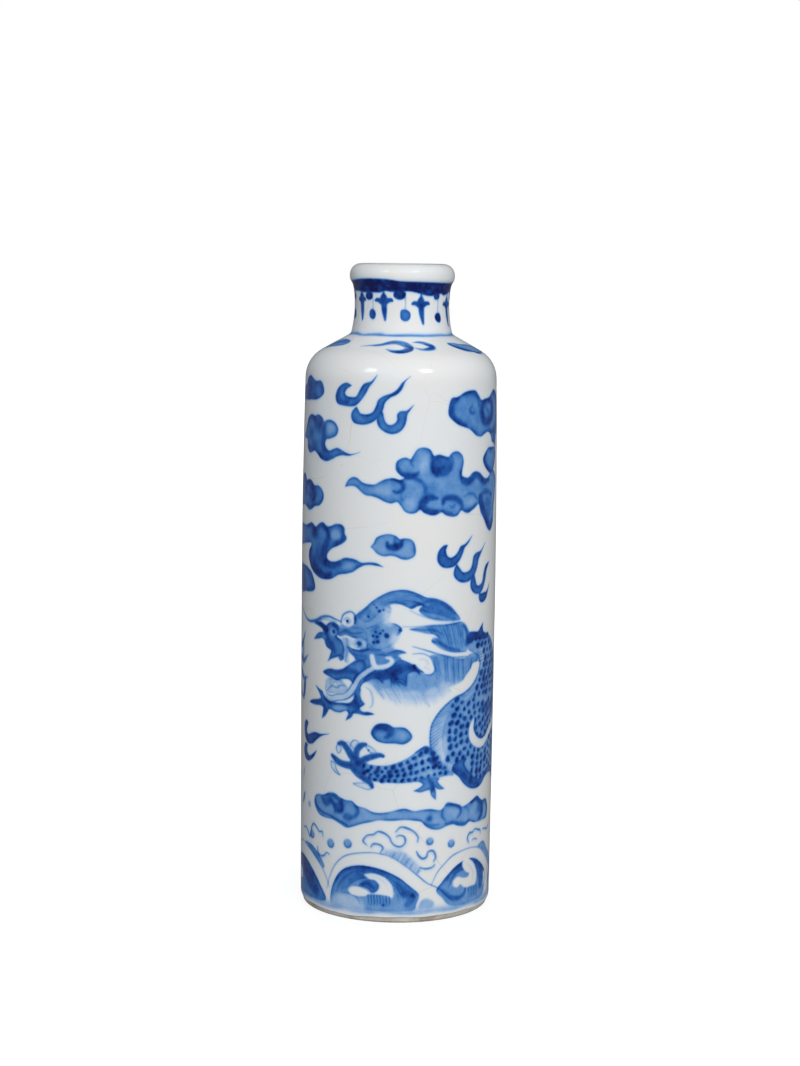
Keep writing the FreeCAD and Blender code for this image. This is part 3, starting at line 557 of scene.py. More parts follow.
def lowFlames(b):
    flame(b, [(6.1, 46.6), (5.5, 46.5), (4.9, 45.9), (4.7, 45.1), (4.9, 44.4), (5.5, 43.9), (6.3, 43.8),
        (7.1, 44.0), (7.8, 44.6), (8.3, 45.4), (8.6, 46.1), (9.2, 46.6), (9.9, 47.5)], [(8.8, 46.6),
        (8.0, 46.3), (7.6, 45.7), (7.1, 45.2), (6.5, 45.0), (6.0, 45.3), (5.8, 46.0)], 0.66)
    flame(b, [(7.4, 44.2), (7.1, 43.6), (7.0, 42.9), (7.4, 42.3), (8.2, 41.9), (9.2, 41.9), (10.0, 42.3),
        (10.6, 42.9), (11.0, 43.8), (11.2, 44.5), (11.8, 45.3), (12.7, 46.4)], [(11.7, 45.5), (10.8, 45.3),
        (10.2, 44.9), (10.0, 44.1), (9.7, 43.4), (9.1, 43.1), (8.4, 43.1), (7.9, 43.6)], 0.62)
    flame(b, [(10.3, 42.9), (9.8, 42.1), (9.7, 41.3), (10.1, 40.6), (10.9, 40.2), (11.7, 40.3),
        (12.3, 40.8), (12.8, 41.7), (13.0, 42.5), (13.2, 43.0), (13.9, 43.9)], [(12.9, 43.5), (12.4, 42.6),
        (12.1, 41.6), (11.5, 41.2), (10.9, 41.3), (10.6, 42.0)], 0.62)
    flame(b, [(11.4, 40.3), (11.4, 39.6), (11.8, 39.1), (12.6, 39.1), (13.2, 39.5), (13.6, 40.2),
        (14.1, 41.2)], [(13.3, 40.3), (12.6, 40.2), (12.0, 40.1)], 0.66)


def hookedFlames(b):
    flame(b, [(-13.6, 23.5), (-14.3, 23.7), (-14.9, 23.2), (-15.0, 22.3), (-14.6, 21.4), (-13.6, 20.9),
        (-12.4, 21.1), (-11.4, 21.8), (-10.4, 22.4), (-9.0, 22.9)], [(-10.6, 22.6), (-11.8, 22.6),
        (-12.8, 22.3), (-13.6, 22.0), (-14.1, 22.3), (-14.0, 22.9)], 0.72)
    flame(b, [(-14.6, 20.8), (-15.1, 20.1), (-15.0, 19.3), (-14.4, 18.8), (-13.5, 18.7), (-12.6, 19.1),
        (-11.9, 19.7), (-11.4, 20.4)], [(-12.3, 19.8), (-13.1, 19.4), (-13.8, 19.6), (-14.0, 20.1),
        (-13.8, 20.7)], 0.72)


# The dragon: horned head to the left, a scaled body that coils off round the bottle.
def tuft(b, root, tips, width=0.32, tone=0.8):
    # spikes that fan out from one root, each bent a little
    for tip in tips:
        wide, tall = tip[0] - root[0], tip[1] - root[1]
        middle = ((root[0] + tip[0]) / 2 + 0.08 * tall, (root[1] + tip[1]) / 2 - 0.08 * wide)
        b.stroke([root, middle, tip], [width, width * 0.8, 0.04], tone, 0.1)


def along(line, share):
    # the point at a share of a line's length, or the points at several
    curve = softCurve(line)
    gaps = np.concatenate([[0], np.cumsum(np.hypot(*np.diff(curve, axis=0).T))])
    place = np.asarray(share) * gaps[-1]
    return np.stack([np.interp(place, gaps, curve[:, k]) for k in (0, 1)], -1)


def between(one, other, share, across):
    # a point between two lines, a share along them and a share across
    a, c = along(one, share), along(other, share)
    return a + (c - a) * across


def hairs(b, upper, lower, count, width=0.07, tone=0.5, reach=(0.75, 1.0), how="over", soft=0.09):
    # fine strokes from one line to another, as many as count
    for k in range(count):
        share = (k + chance.uniform(0.1, 0.9)) / count
        a, c = along(upper, share), along(lower, share)
        c = a + (c - a) * chance.uniform(*reach)
        middle = (a + c) / 2 + np.array([chance.uniform(-0.12, 0.12), 0])
        widths = [width, width * chance.uniform(0.8, 1.4), width * 0.4]
        b.stroke([a, middle, c], widths, tone * chance.uniform(0.5, 1.0), soft, how)


def fibres(b, one, other, count, width=0.07, tone=0.45, how="deepen"):
    # brush marks that run with two lines, spread between them
    for k in range(count):
        across = (k + chance.uniform(0.1, 0.9)) / count
        shares = np.linspace(0.02 + chance.uniform(0, 0.25), 0.98 - chance.uniform(0, 0.25), 7)
        line = along(one, shares) * (1 - across) + along(other, shares) * across
        widths = [width * 0.3, width * chance.uniform(0.7, 1.4), width * 0.3]
        b.stroke(line, widths, tone * chance.uniform(0.35, 1.0), 0.07, how)


scales = {  # the dragon's scales, in mm
    "radius": 0.29,
    "legRadius": 0.25,
    "tailRadius": 0.3,
    "tone": (0.68, 0.95),
    "middle": (12.0, 23.2),  # of the rings on the coil's turn
    "outerRing": 6.05,
    "ringGap": 0.88,
    "rings": 7,
    "spacing": 1.0,  # along a ring
    "neckCorner": (9.0, 27.8),
    "neckGap": (0.96, 0.86),
    "neckRows": 9,
}


def scale(b, x, y, radius=scales["radius"]):
    # one scale: a soft blue skirt with a dark uneven bead on it
    size = radius * chance.uniform(0.75, 1.2)
    turn = chance.uniform(0.3, 1.5)
    b.stroke([(x + 0.12, y - 0.1), (x + 0.2, y - 0.12)], size * 1.1, chance.uniform(0.05, 0.4), 0.2)
    reach = size * chance.uniform(0.2, 0.75)
    side, rise = reach * math.cos(turn), reach * math.sin(turn)
    widths = [size * 0.95, size * chance.uniform(0.35, 0.9)]
    b.stroke([(x - side, y - rise), (x + side, y + rise)], widths, chance.uniform(*scales["tone"]), 0.12)


def plates(b, outer, inner, count, tone=0.3):
    # belly plates: short strokes across a pale strip
    for k in range(count):
        share = (k + 0.5) / count
        a, c = between(outer, inner, share, 0.04), between(outer, inner, share, 0.9)
        b.stroke([a, (a + c) / 2, c], [0.1, 0.09, 0.05], tone * chance.uniform(0.7, 1.2), 0.09)


def mane(b):
    # the swept mane behind the head, striped along its fall
    arch = [(-4.9, 37.7), (-4.0, 38.9), (-3.0, 39.9), (-1.9, 40.6), (-0.8, 41.1), (0.5, 41.3), (1.6, 41.1),
        (2.6, 40.7), (3.4, 40.3), (4.4, 40.2), (5.5, 39.8), (6.6, 39.1), (7.4, 38.3), (8.1, 37.4)]
    under = [(-3.6, 37.2), (-2.2, 38.4), (-1.3, 39.3), (-0.4, 39.6), (0.4, 39.5), (1.1, 39.2), (1.7, 39.0),
        (2.3, 39.3), (3.0, 39.4), (2.5, 38.8), (2.6, 38.3), (3.6, 37.9), (5.2, 37.5), (7.3, 37.2)]
    b.wash(arch + under[::-1], 0.39, 0.22, 0.3)
    fibres(b, arch, under, 15, 0.06, 0.42)
    fibres(b, arch, under, 6, 0.05, 0.2, "wipe")
    b.shade([(0.6, 39.3), (1.4, 39.0), (2.3, 39.5), (3.0, 39.4)], [0.15, 0.25, 0.2, 0.1], 0.5)
    b.shade([(2.9, 38.9), (4.2, 39.0), (5.8, 38.4), (7.2, 37.6)], [0.4, 0.6, 0.6, 0.25], 0.32, 0.3)
    b.shade([(2.8, 39.6), (4.2, 39.9), (5.8, 39.3), (7.2, 38.2)], [0.15, 0.2, 0.2, 0.15], 0.42)
    # between the horns
    b.wash([(1.3, 36.5), (2.4, 36.7), (4.0, 36.9), (6.0, 36.9), (8.0, 37.1), (8.8, 36.8), (9.4, 36.0),
        (9.7, 35.2), (9.4, 34.4), (9.3, 33.5), (8.2, 33.3), (7.0, 33.4), (5.8, 33.9), (4.8, 34.5),
        (4.0, 35.0), (4.3, 35.4), (5.1, 35.2), (4.4, 35.8), (3.6, 35.9), (2.8, 36.1)], 0.36, 0.16, 0.3)
    top = [(3.4, 36.6), (5.2, 36.8), (7.2, 36.9), (9.0, 36.6)]
    low = [(5.2, 34.6), (6.8, 33.7), (8.2, 33.4), (9.4, 34.2)]
    hairs(b, top, low, 34, 0.055, 0.45, (0.7, 1.0), "deepen")
    hairs(b, top, low, 16, 0.04, 0.25, (0.6, 1.0), "wipe")
    b.shade([(1.6, 36.5), (3.0, 36.4), (4.4, 36.3), (5.5, 35.8)], [0.08, 0.15, 0.15, 0.05], 0.4, 0.1)
    b.shade([(4.1, 35.0), (5.2, 34.7), (6.4, 34.0), (8.0, 33.6)], [0.1, 0.22, 0.2, 0.15], 0.45, 0.1)
    b.shade([(8.6, 36.6), (9.3, 35.6), (9.2, 34.2)], [0.15, 0.25, 0.25], 0.4, 0.15)
    # the hair that falls behind the jaw
    b.wash([(4.0, 33.2), (5.5, 33.2), (7.2, 32.7), (8.8, 32.5), (9.8, 32.9), (11.0, 32.8), (12.4, 32.3),
        (12.3, 31.4), (11.4, 31.8), (10.4, 31.7), (9.9, 31.0), (9.2, 30.4), (8.5, 29.7), (7.3, 29.3),
        (6.0, 29.2), (5.2, 29.8), (4.7, 30.6), (4.6, 31.4), (4.4, 32.3)], 0.36, 0.12, 0.3)
    top, low = [(4.4, 33.0), (6.5, 32.8), (8.6, 32.5), (11.6, 32.4)], [(5.0, 29.6), (6.6, 28.9),
        (8.4, 29.1), (10.8, 31.2)]
    hairs(b, top, low, 40, 0.06, 0.42, (0.7, 1.0), "deepen")
    hairs(b, top, low, 20, 0.045, 0.28, (0.8, 1.1), "wipe")
    b.lift([(5.0, 30.0), (6.8, 29.6), (8.6, 29.8), (8.2, 28.8), (6.6, 28.4), (5.0, 28.8)], 0.5, 0.5)
    # the long pale hair below the beard
    b.wash([(-3.6, 30.4), (-2.0, 30.9), (0.8, 31.0), (3.0, 31.6), (5.0, 31.2), (6.4, 28.8), (4.2, 27.6),
        (1.2, 27.5), (-2.0, 28.5)], 0.26, 0, soft=0.9)
    b.wash([(-3.9, 30.4), (-2.0, 30.9), (0.8, 31.0), (3.0, 31.6), (5.0, 31.2), (5.8, 29.8), (3.8, 28.9),
        (1.0, 28.8), (-2.5, 29.3)], 0.45, 0, soft=0.6)
    top = [(-3.8, 30.4), (-2.0, 30.8), (0.4, 31.0), (3.0, 31.4), (5.4, 31.0)]
    low = [(-1.7, 27.8), (0.6, 26.8), (3.0, 26.4), (5.6, 27.3), (7.4, 28.7)]
    hairs(b, top, low, 70, 0.11, 0.48, (0.4, 0.95), "level", 0.14)
    hairs(b, top, low, 36, 0.05, 0.58, (0.3, 0.7), "level", 0.1)
    hairs(b, top, low, 20, 0.045, 0.3, (0.6, 1.0), "wipe", 0.1)


def horns(b):
    b.spare([(-0.9, 38.5), (-0.6, 39.2), (0.0, 39.5), (0.8, 39.3), (1.5, 38.9), (2.2, 39.1), (2.6, 38.6),
        (3.2, 38.1), (4.4, 37.6), (6.0, 37.4), (8.3, 37.2), (8.3, 37.2), (6.0, 36.95), (4.0, 36.95),
        (2.4, 36.85), (1.2, 36.55), (0.4, 36.9), (-0.3, 37.6)])
    b.stroke([(1.4, 38.8), (2.4, 38.3), (3.4, 37.9), (5.0, 37.45), (7.2, 37.2)], [0.05, 0.09, 0.09, 0.07,
        0.04], 0.35, 0.12)
    b.stroke([(0.6, 36.8), (2.0, 36.8), (4.2, 36.9), (6.4, 36.9), (8.2, 37.0)], [0.05, 0.08, 0.09, 0.08,
        0.05], 0.4, 0.12)
    b.spare([(0.6, 36.4), (1.6, 36.3), (2.6, 35.9), (3.9, 35.7), (4.3, 35.5), (4.1, 35.0), (4.7, 34.3),
        (5.8, 33.8), (7.2, 33.4), (8.8, 33.3), (9.8, 33.2), (9.8, 33.2), (8.9, 32.7), (7.2, 32.8),
        (5.6, 33.2), (4.0, 33.7), (2.4, 34.3), (1.2, 34.3), (0.2, 34.5), (-0.2, 35.3), (0.3, 36.0)])
    b.stroke([(1.8, 34.4), (3.4, 33.9), (5.2, 33.3), (7.2, 32.8), (9.2, 32.7)], [0.05, 0.1, 0.11, 0.1,
        0.08], 0.5, 0.12)
    b.stroke([(4.2, 34.9), (5.4, 34.0), (7.0, 33.5), (9.2, 33.3)], [0.05, 0.09, 0.09, 0.06], 0.4, 0.12)


def brows(b):
    # the blue ground that joins forehead, brows and cheek
    b.wash([(-7.4, 36.6), (-6.6, 36.5), (-5.6, 37.0), (-5.3, 37.9), (-4.2, 38.8), (-2.6, 39.4),
        (-1.2, 39.0), (-0.9, 38.0), (-0.8, 37.1), (0.2, 36.6), (0.2, 35.4), (-0.4, 34.4), (-0.2, 33.8),
        (-2.0, 33.6), (-4.0, 33.4), (-4.6, 33.9), (-5.2, 35.1), (-6.2, 35.5), (-7.2, 35.4), (-7.8, 35.9)],
        0.38, 0, soft=0.16)
    b.wash([(-5.5, 37.6), (-4.9, 38.2), (-4.1, 38.9), (-3.3, 39.6), (-2.4, 39.9), (-1.5, 39.7),
        (-0.9, 39.2), (-0.8, 38.6), (-1.1, 37.9), (-1.8, 37.3), (-2.6, 36.8), (-3.6, 36.4), (-4.4, 36.3),
        (-4.9, 36.9)], 0.3, 0.3, 0.3)
    b.shade([(-5.2, 37.6), (-4.4, 38.3), (-3.8, 38.8), (-3.6, 38.0)], [0.3, 0.4, 0.3, 0.15], 0.22)
    b.lift([(-2.6, 38.2), (-1.6, 38.4), (-1.2, 38.9), (-2.0, 39.2), (-3.0, 39.0)], 0.3, 0.4)
    warts = [(-2.6, 39.05, 0.13), (-2.25, 38.65, 0.2), (-1.75, 38.8, 0.12), (-1.1, 38.6, 0.1),
        (-3.6, 37.9, 0.14), (-2.9, 39.4, 0.08)]
    for x, y, r in warts:
        b.dot(x, y, r, 0.75)
    b.wash([(-3.8, 35.2), (-3.4, 36.0), (-2.8, 36.6), (-2.0, 37.1), (-1.2, 37.3), (-0.4, 37.2), (0.3, 36.8),
        (0.5, 36.3), (0.0, 35.9), (-0.1, 35.3), (-0.5, 34.7), (-1.2, 34.2), (-2.2, 33.9), (-3.2, 34.1),
        (-3.7, 34.6)], 0.31, 0.32, 0.3)
    b.shade([(-3.1, 36.2), (-2.5, 36.6), (-2.5, 35.4), (-3.0, 34.4)], [0.25, 0.35, 0.4, 0.3], 0.22)
    # both brows fade out to the right
    b.lift([(-1.8, 37.3), (-0.9, 36.9), (-0.3, 37.6), (-0.4, 38.7), (-0.9, 39.0), (-1.4, 38.6)], 0.6, 0.45)
    b.lift([(-0.8, 34.5), (0.3, 34.2), (0.7, 35.2), (0.3, 35.9), (-0.5, 36.0)], 0.6, 0.45)
    b.shade([(0.3, 36.7), (0.3, 36.2), (-0.1, 35.8)], [0.15, 0.2, 0.12], 0.4, 0.1)
    warts = [(-3.0, 35.6, 0.17), (-2.7, 36.1, 0.17), (-2.4, 34.9, 0.22), (-2.1, 35.95, 0.14),
        (-1.35, 35.7, 0.3), (-2.9, 34.8, 0.17), (-1.8, 36.3, 0.12), (-2.5, 35.5, 0.16), (0.2, 36.4, 0.12)]
    for x, y, r in warts:
        b.dot(x, y, r, 0.8)


def face(b):
    # forehead and snout
    b.wash([(-7.4, 36.2), (-6.2, 36.3), (-5.0, 36.6), (-4.0, 36.3), (-3.6, 35.6), (-3.8, 34.9),
        (-4.6, 35.3), (-5.6, 35.2), (-6.4, 35.4), (-7.4, 35.2), (-8.0, 35.6)], 0.42, 0.22, 0.3)
    b.shade([(-7.6, 35.5), (-6.6, 35.9), (-5.6, 35.7), (-4.4, 35.9)], [0.15, 0.2, 0.15, 0.1], 0.4, 0.1)
    b.wash([(-10.3, 35.6), (-9.7, 36.2), (-9.0, 36.7), (-8.2, 36.7), (-7.6, 36.4), (-7.6, 35.7),
        (-7.9, 35.1), (-7.2, 34.7), (-6.8, 34.0), (-6.7, 33.0), (-6.8, 32.4), (-7.4, 32.7), (-8.1, 32.5),
        (-8.8, 32.2), (-9.4, 31.8), (-9.4, 31.8), (-8.9, 32.8), (-8.8, 33.3), (-9.5, 33.6), (-9.9, 34.2),
        (-9.7, 34.9)], 0.54, 0.28, 0.3)
    b.shade([(-8.4, 36.5), (-8.0, 36.3), (-7.8, 36.0)], [0.25, 0.3, 0.2], 0.55)
    b.shade([(-9.7, 35.3), (-9.3, 34.4), (-8.6, 33.9), (-8.2, 33.2)], [0.35, 0.45, 0.4, 0.2], 0.4)
    b.lift([(-8.9, 35.7), (-8.5, 36.1), (-8.0, 35.9), (-7.9, 35.4), (-8.4, 35.1), (-8.9, 35.3)], 0.5, 0.15)
    b.dot(-8.4, 35.65, 0.26, 0.7)
    tuft(b, (-9.6, 35.8), [(-11.9, 36.4), (-12.1, 36.2)], 0.36, 0.72)
    b.wash([(-9.5, 34.9), (-10.2, 35.3), (-11.0, 35.2), (-11.6, 34.8), (-12.2, 34.2), (-12.2, 34.2),
        (-11.2, 34.4), (-10.4, 34.6), (-9.8, 34.3)], 0.55, 0.25, 0.2)
    b.wash([(-7.6, 33.6), (-6.9, 33.8), (-6.8, 32.6), (-7.3, 32.2), (-7.7, 32.8)], 0.5, 0.2, 0.2)
    # whisker
    b.stroke([(-7.3, 37.0), (-8.2, 37.2), (-9.2, 37.4), (-10.4, 37.2), (-11.7, 36.6), (-13.0, 36.3),
        (-14.2, 36.4), (-15.4, 37.0), (-16.8, 37.6)], [0.08, 0.12, 0.16, 0.2, 0.2, 0.18, 0.12, 0.08, 0.04],
        0.6, 0.12)
    b.stroke([(-8.0, 36.8), (-9.4, 37.0), (-10.8, 36.8), (-12.0, 36.4)], [0.05, 0.08, 0.1, 0.04], 0.4, 0.14)
    # nose ridge and cheek
    b.spare([(-7.1, 35.1), (-6.5, 35.4), (-6.1, 35.0), (-6.2, 34.2), (-6.1, 33.4), (-5.2, 32.7),
        (-5.0, 32.3), (-5.8, 32.2), (-6.7, 32.0), (-6.8, 33.0), (-6.6, 34.0)])
    b.wash([(-7.1, 35.0), (-6.2, 34.9), (-6.1, 33.4), (-6.0, 32.2), (-6.7, 32.2), (-6.7, 34.0)], 0.24, 0.12,
        0.2)
    b.wash([(-6.6, 35.0), (-5.6, 34.9), (-5.4, 34.3), (-6.2, 34.2)], 0.2, 0, soft=0.2)
    b.stroke([(-6.4, 35.1), (-6.4, 34.2), (-6.4, 33.2), (-6.6, 32.2)], [0.06, 0.1, 0.1, 0.05], 0.3, 0.14)
    b.wash([(-6.3, 34.0), (-5.7, 33.5), (-4.8, 33.2), (-3.6, 33.2), (-2.4, 33.4), (-1.2, 33.6),
        (-0.2, 34.0), (0.8, 33.8), (1.3, 33.3), (0.6, 33.2), (-0.4, 32.9), (-1.2, 33.1), (-2.2, 33.2),
        (-3.2, 33.2), (-4.2, 32.4), (-5.2, 32.6), (-5.9, 33.2)], 0.54, 0.22, 0.25)
    b.stroke([(-6.2, 34.0), (-5.4, 33.6), (-4.4, 33.6), (-3.6, 33.9)], [0.1, 0.2, 0.2, 0.1], 0.6, 0.12)
    b.stroke([(-5.6, 35.3), (-4.6, 35.1), (-3.9, 34.6), (-3.6, 34.1)], [0.08, 0.12, 0.14, 0.1], 0.6, 0.1)
    b.wash([(-5.6, 32.4), (-4.6, 33.3), (-3.6, 33.4), (-3.3, 32.2), (-4.0, 31.4), (-5.0, 31.6)], 0.52, 0.1)
    b.stroke([(-6.0, 33.8), (-5.0, 33.35), (-4.0, 33.25), (-3.0, 33.5), (-1.6, 33.6), (0.2, 33.6),
        (1.2, 33.4)], [0.12, 0.32, 0.4, 0.3, 0.24, 0.2, 0.05], 0.53, 0.16, "level")
    b.shade([(-5.6, 33.75), (-4.6, 33.7), (-3.4, 33.9), (-2.0, 33.9)], [0.08, 0.14, 0.16, 0.08], 0.5, 0.08)
    # eyes
    b.spare([(-7.1, 37.1), (-6.8, 37.9), (-6.2, 38.1), (-5.6, 37.7), (-5.5, 37.0), (-5.8, 36.5),
        (-6.5, 36.3), (-7.0, 36.6)], 0.14)
    b.stroke([(-7.3, 36.9), (-7.0, 37.8), (-6.3, 38.25), (-5.7, 38.3), (-5.3, 37.8), (-5.3, 37.0)], [0.08,
        0.12, 0.12, 0.1, 0.12, 0.14], 0.55, 0.12)
    b.stroke([(-7.3, 36.9), (-6.8, 36.5), (-6.2, 36.4), (-5.6, 36.6)], [0.05, 0.1, 0.1, 0.08], 0.4, 0.12)
    b.stroke([(-6.9, 37.2), (-6.4, 37.6), (-5.9, 37.3), (-6.0, 36.9), (-6.5, 36.8)], 0.07, 0.4, 0.12)
    b.dot(-6.35, 37.15, 0.2, 0.85)
    socket = [(-5.6, 34.5), (-5.2, 35.05), (-4.6, 35.15), (-3.9, 34.8), (-3.9, 34.3), (-4.6, 34.0),
        (-5.3, 34.0)]
    b.spare(socket, 0.14)
    b.wash(socket, 0.16, 0.2, 0.2)
    b.spare([(-6.1, 33.2), (-5.7, 33.1), (-5.3, 32.7), (-5.3, 32.3), (-5.7, 32.0), (-6.05, 32.1)], 0.14)
    b.stroke([(-5.2, 34.4), (-4.9, 34.8), (-4.5, 34.7), (-4.4, 34.3), (-4.9, 34.1)], 0.08, 0.5, 0.12)
    b.dot(-4.75, 34.5, 0.26, 0.85)
    # ear
    b.spare([(0.2, 33.4), (1.2, 33.6), (2.2, 33.5), (3.4, 33.4), (4.2, 32.8), (4.4, 32.0), (4.5, 31.3),
        (4.0, 30.9), (3.2, 31.0), (2.7, 31.6), (2.0, 32.3), (1.0, 32.6), (0.2, 33.0)], 0.14)
    b.stroke([(1.8, 33.5), (3.0, 33.5), (4.0, 33.0), (4.4, 32.2), (4.65, 31.5), (4.2, 30.9), (3.4, 30.95),
        (2.9, 31.4)], [0.05, 0.09, 0.1, 0.1, 0.1, 0.1, 0.09, 0.05], 0.4, 0.12)
    b.stroke([(2.6, 32.8), (3.4, 32.7), (3.7, 32.2), (3.4, 31.9)], [0.04, 0.08, 0.08, 0.04], 0.25, 0.14)
    b.stroke([(3.2, 31.8), (3.8, 31.6), (3.9, 31.3)], [0.04, 0.07, 0.04], 0.25, 0.14)


def jaws(b):
    # upper jaw and lip
    b.wash([(-10.2, 30.4), (-9.6, 30.8), (-8.8, 31.0), (-7.9, 31.0), (-7.0, 31.2), (-6.4, 31.6),
        (-5.4, 32.3), (-4.6, 32.6), (-4.0, 32.4), (-3.8, 31.6), (-4.4, 30.8), (-5.0, 30.1), (-5.4, 29.5),
        (-6.0, 30.0), (-7.0, 30.0), (-7.8, 29.7), (-8.6, 29.9), (-9.4, 30.1)], 0.53, 0.3, 0.3)
    b.shade([(-9.8, 30.4), (-8.6, 30.6), (-7.4, 30.7), (-6.2, 31.1), (-5.2, 31.0)], [0.1, 0.25, 0.3, 0.4,
        0.3], 0.42)
    # dark beard behind the jaw
    b.wash([(-4.2, 30.0), (-3.4, 31.2), (-2.6, 31.6), (-1.6, 31.5), (-0.6, 32.2), (0.2, 32.8), (1.0, 32.6),
        (1.8, 32.2), (2.5, 31.5), (2.8, 31.0), (2.2, 31.3), (1.3, 31.0), (1.2, 30.2), (1.2, 29.3),
        (1.2, 29.3), (0.6, 30.2), (-0.1, 30.3), (-0.3, 29.5), (-0.3, 29.5), (-0.9, 30.3), (-1.6, 30.2),
        (-1.7, 29.8), (-2.6, 30.4), (-3.6, 30.0), (-4.3, 29.6), (-4.8, 28.4), (-4.6, 29.4)], 0.57, 0.24,
        0.3)
    b.shade([(-3.4, 30.9), (-2.0, 31.1), (-0.6, 31.5), (0.6, 31.9), (1.8, 31.7)], [0.2, 0.3, 0.45, 0.5,
        0.2], 0.4)
    b.pool(0.3, 31.5, 0.9, 0.4)
    b.shade([(-3.9, 30.2), (-3.0, 30.7), (-1.8, 30.8), (-0.8, 30.9), (0.2, 31.2)], [0.15, 0.4, 0.45, 0.45,
        0.3], 0.4)
    tuft(b, (-0.4, 31.0), [(-0.7, 29.6), (0.3, 29.5), (1.0, 29.6)], 0.25, 0.5)
    tuft(b, (2.0, 32.0), [(2.7, 31.0), (3.2, 31.2)], 0.22, 0.6)
    # ring at the corner of the mouth
    b.wash([(-3.5, 33.3), (-1.6, 33.4), (-0.2, 33.3), (0.5, 32.8), (-0.2, 32.0), (-1.4, 31.5),
        (-3.4, 31.5)], 0.5, 0.1, 0.2)
    bar = [(-3.1, 33.1), (-2.95, 32.4), (-2.65, 31.75)]
    bow = [(-2.6, 31.75), (-1.8, 31.85), (-1.05, 32.1), (-0.65, 32.5), (-0.85, 32.95), (-1.35, 33.0)]
    for line, widths in ((bar, [0.28, 0.3, 0.26]), (bow, [0.26, 0.25, 0.26, 0.26, 0.24, 0.14])):
        b.stroke(line, widths, 1, 0.14, "wipe")
        b.stroke(line, widths, 0.08, 0.14, "level")
    # pale lower lip, from the corner of the mouth to the chin, dark at both edges
    lip = [(-3.0, 31.6), (-4.1, 30.85), (-4.8, 30.2), (-5.3, 29.3), (-5.9, 28.4), (-6.8, 27.8),
        (-7.8, 27.6), (-8.7, 27.3), (-9.6, 27.5)]
    under = [(x + 0.3, y - 0.24) for x, y in lip[:6]] + [(x, y - 0.36) for x, y in lip[6:]]
    over = [(x - 0.28, y + 0.26) for x, y in lip[:5]] + [(x, y + 0.36) for x, y in lip[5:]]
    b.stroke(under, [0.06, 0.14, 0.16, 0.16, 0.14, 0.12, 0.1, 0.1, 0.06], 0.66, 0.14)
    b.stroke(over, [0.05, 0.13, 0.15, 0.13, 0.11, 0.1, 0.09, 0.09, 0.05], 0.6, 0.13)
    b.stroke(lip, [0.26, 0.26, 0.26, 0.26, 0.27, 0.27, 0.26, 0.26, 0.18], 1, 0.12, "wipe")
    b.stroke(lip, [0.28, 0.28, 0.28, 0.28, 0.3, 0.3, 0.28, 0.28, 0.2], 0.2, 0.14, "level")
    # tongue and teeth
    b.wash([(-9.8, 28.6), (-9.5, 29.4), (-8.8, 29.7), (-8.0, 29.5), (-7.2, 29.7), (-6.5, 29.3),
        (-6.2, 28.8), (-6.8, 28.4), (-7.8, 28.1), (-9.0, 28.0), (-9.7, 28.1)], 0.2, 0.2, 0.2)
    b.lift([(-8.5, 29.2), (-7.9, 29.5), (-7.4, 29.3), (-7.9, 29.05)], 0.6, 0.15)
    b.stroke([(-9.4, 28.3), (-8.6, 28.9), (-7.8, 28.8), (-7.2, 29.2), (-6.6, 29.1)], [0.04, 0.08, 0.08,
        0.08, 0.04], 0.4, 0.12)
    b.stroke([(-9.0, 29.5), (-8.7, 29.0), (-8.1, 29.5), (-7.6, 29.1)], 0.06, 0.3, 0.12)
    b.stroke([(-9.7, 29.3), (-9.3, 29.7), (-8.2, 29.8), (-7.0, 29.8)], [0.05, 0.08, 0.08, 0.05], 0.4, 0.12)
    # lower jaw with its spikes
    b.wash([(-9.9, 27.5), (-9.0, 27.0), (-8.0, 26.9), (-7.0, 27.0), (-6.0, 27.1), (-5.4, 27.7),
        (-5.2, 28.6), (-4.6, 29.3), (-4.4, 28.4), (-4.3, 27.6), (-3.5, 27.7), (-3.5, 27.7), (-4.0, 27.1),
        (-4.6, 26.6), (-4.2, 26.2), (-3.4, 26.2), (-2.7, 26.0), (-2.7, 26.0), (-3.8, 25.8), (-4.8, 25.9),
        (-5.4, 25.9), (-5.7, 25.4), (-6.5, 24.9), (-6.5, 24.9), (-6.1, 25.8), (-6.5, 26.1), (-7.3, 25.8),
        (-8.2, 25.8), (-9.0, 26.0), (-9.4, 25.5), (-9.8, 25.0), (-10.4, 24.6), (-10.4, 24.6), (-10.2, 25.3),
        (-10.1, 26.0), (-10.6, 26.2), (-11.6, 26.1), (-12.4, 26.1), (-13.3, 26.2), (-13.3, 26.2),
        (-12.4, 26.6), (-11.4, 26.8), (-10.6, 27.1), (-10.9, 27.7), (-11.3, 28.1), (-11.8, 28.6),
        (-11.8, 28.6), (-10.9, 28.2), (-10.3, 28.0)], 0.55, 0.3, 0.26)
    b.shade([(-10.0, 27.2), (-9.0, 26.8), (-8.2, 26.8), (-6.6, 26.9), (-5.4, 27.0)], [0.2, 0.25, 0.2, 0.2,
        0.3], 0.45)
    b.shade([(-5.2, 28.2), (-5.0, 27.2), (-5.0, 26.4), (-5.6, 25.9)], [0.2, 0.35, 0.3, 0.15], 0.45)
    b.shade([(-12.8, 26.3), (-11.6, 26.5), (-10.4, 26.7), (-9.8, 26.0), (-10.0, 25.2)], [0.1, 0.2, 0.25,
        0.25, 0.15], 0.5)
    b.lift([(-8.4, 26.5), (-7.4, 26.7), (-6.4, 26.6), (-6.4, 26.1), (-7.4, 26.0), (-8.2, 26.1)], 0.4, 0.3)
    b.spare([(-4.0, 29.3), (-3.5, 29.2), (-3.1, 28.4), (-3.0, 27.4), (-3.4, 26.9), (-3.9, 27.2),
        (-4.4, 27.8), (-4.5, 28.6)], 0.16)
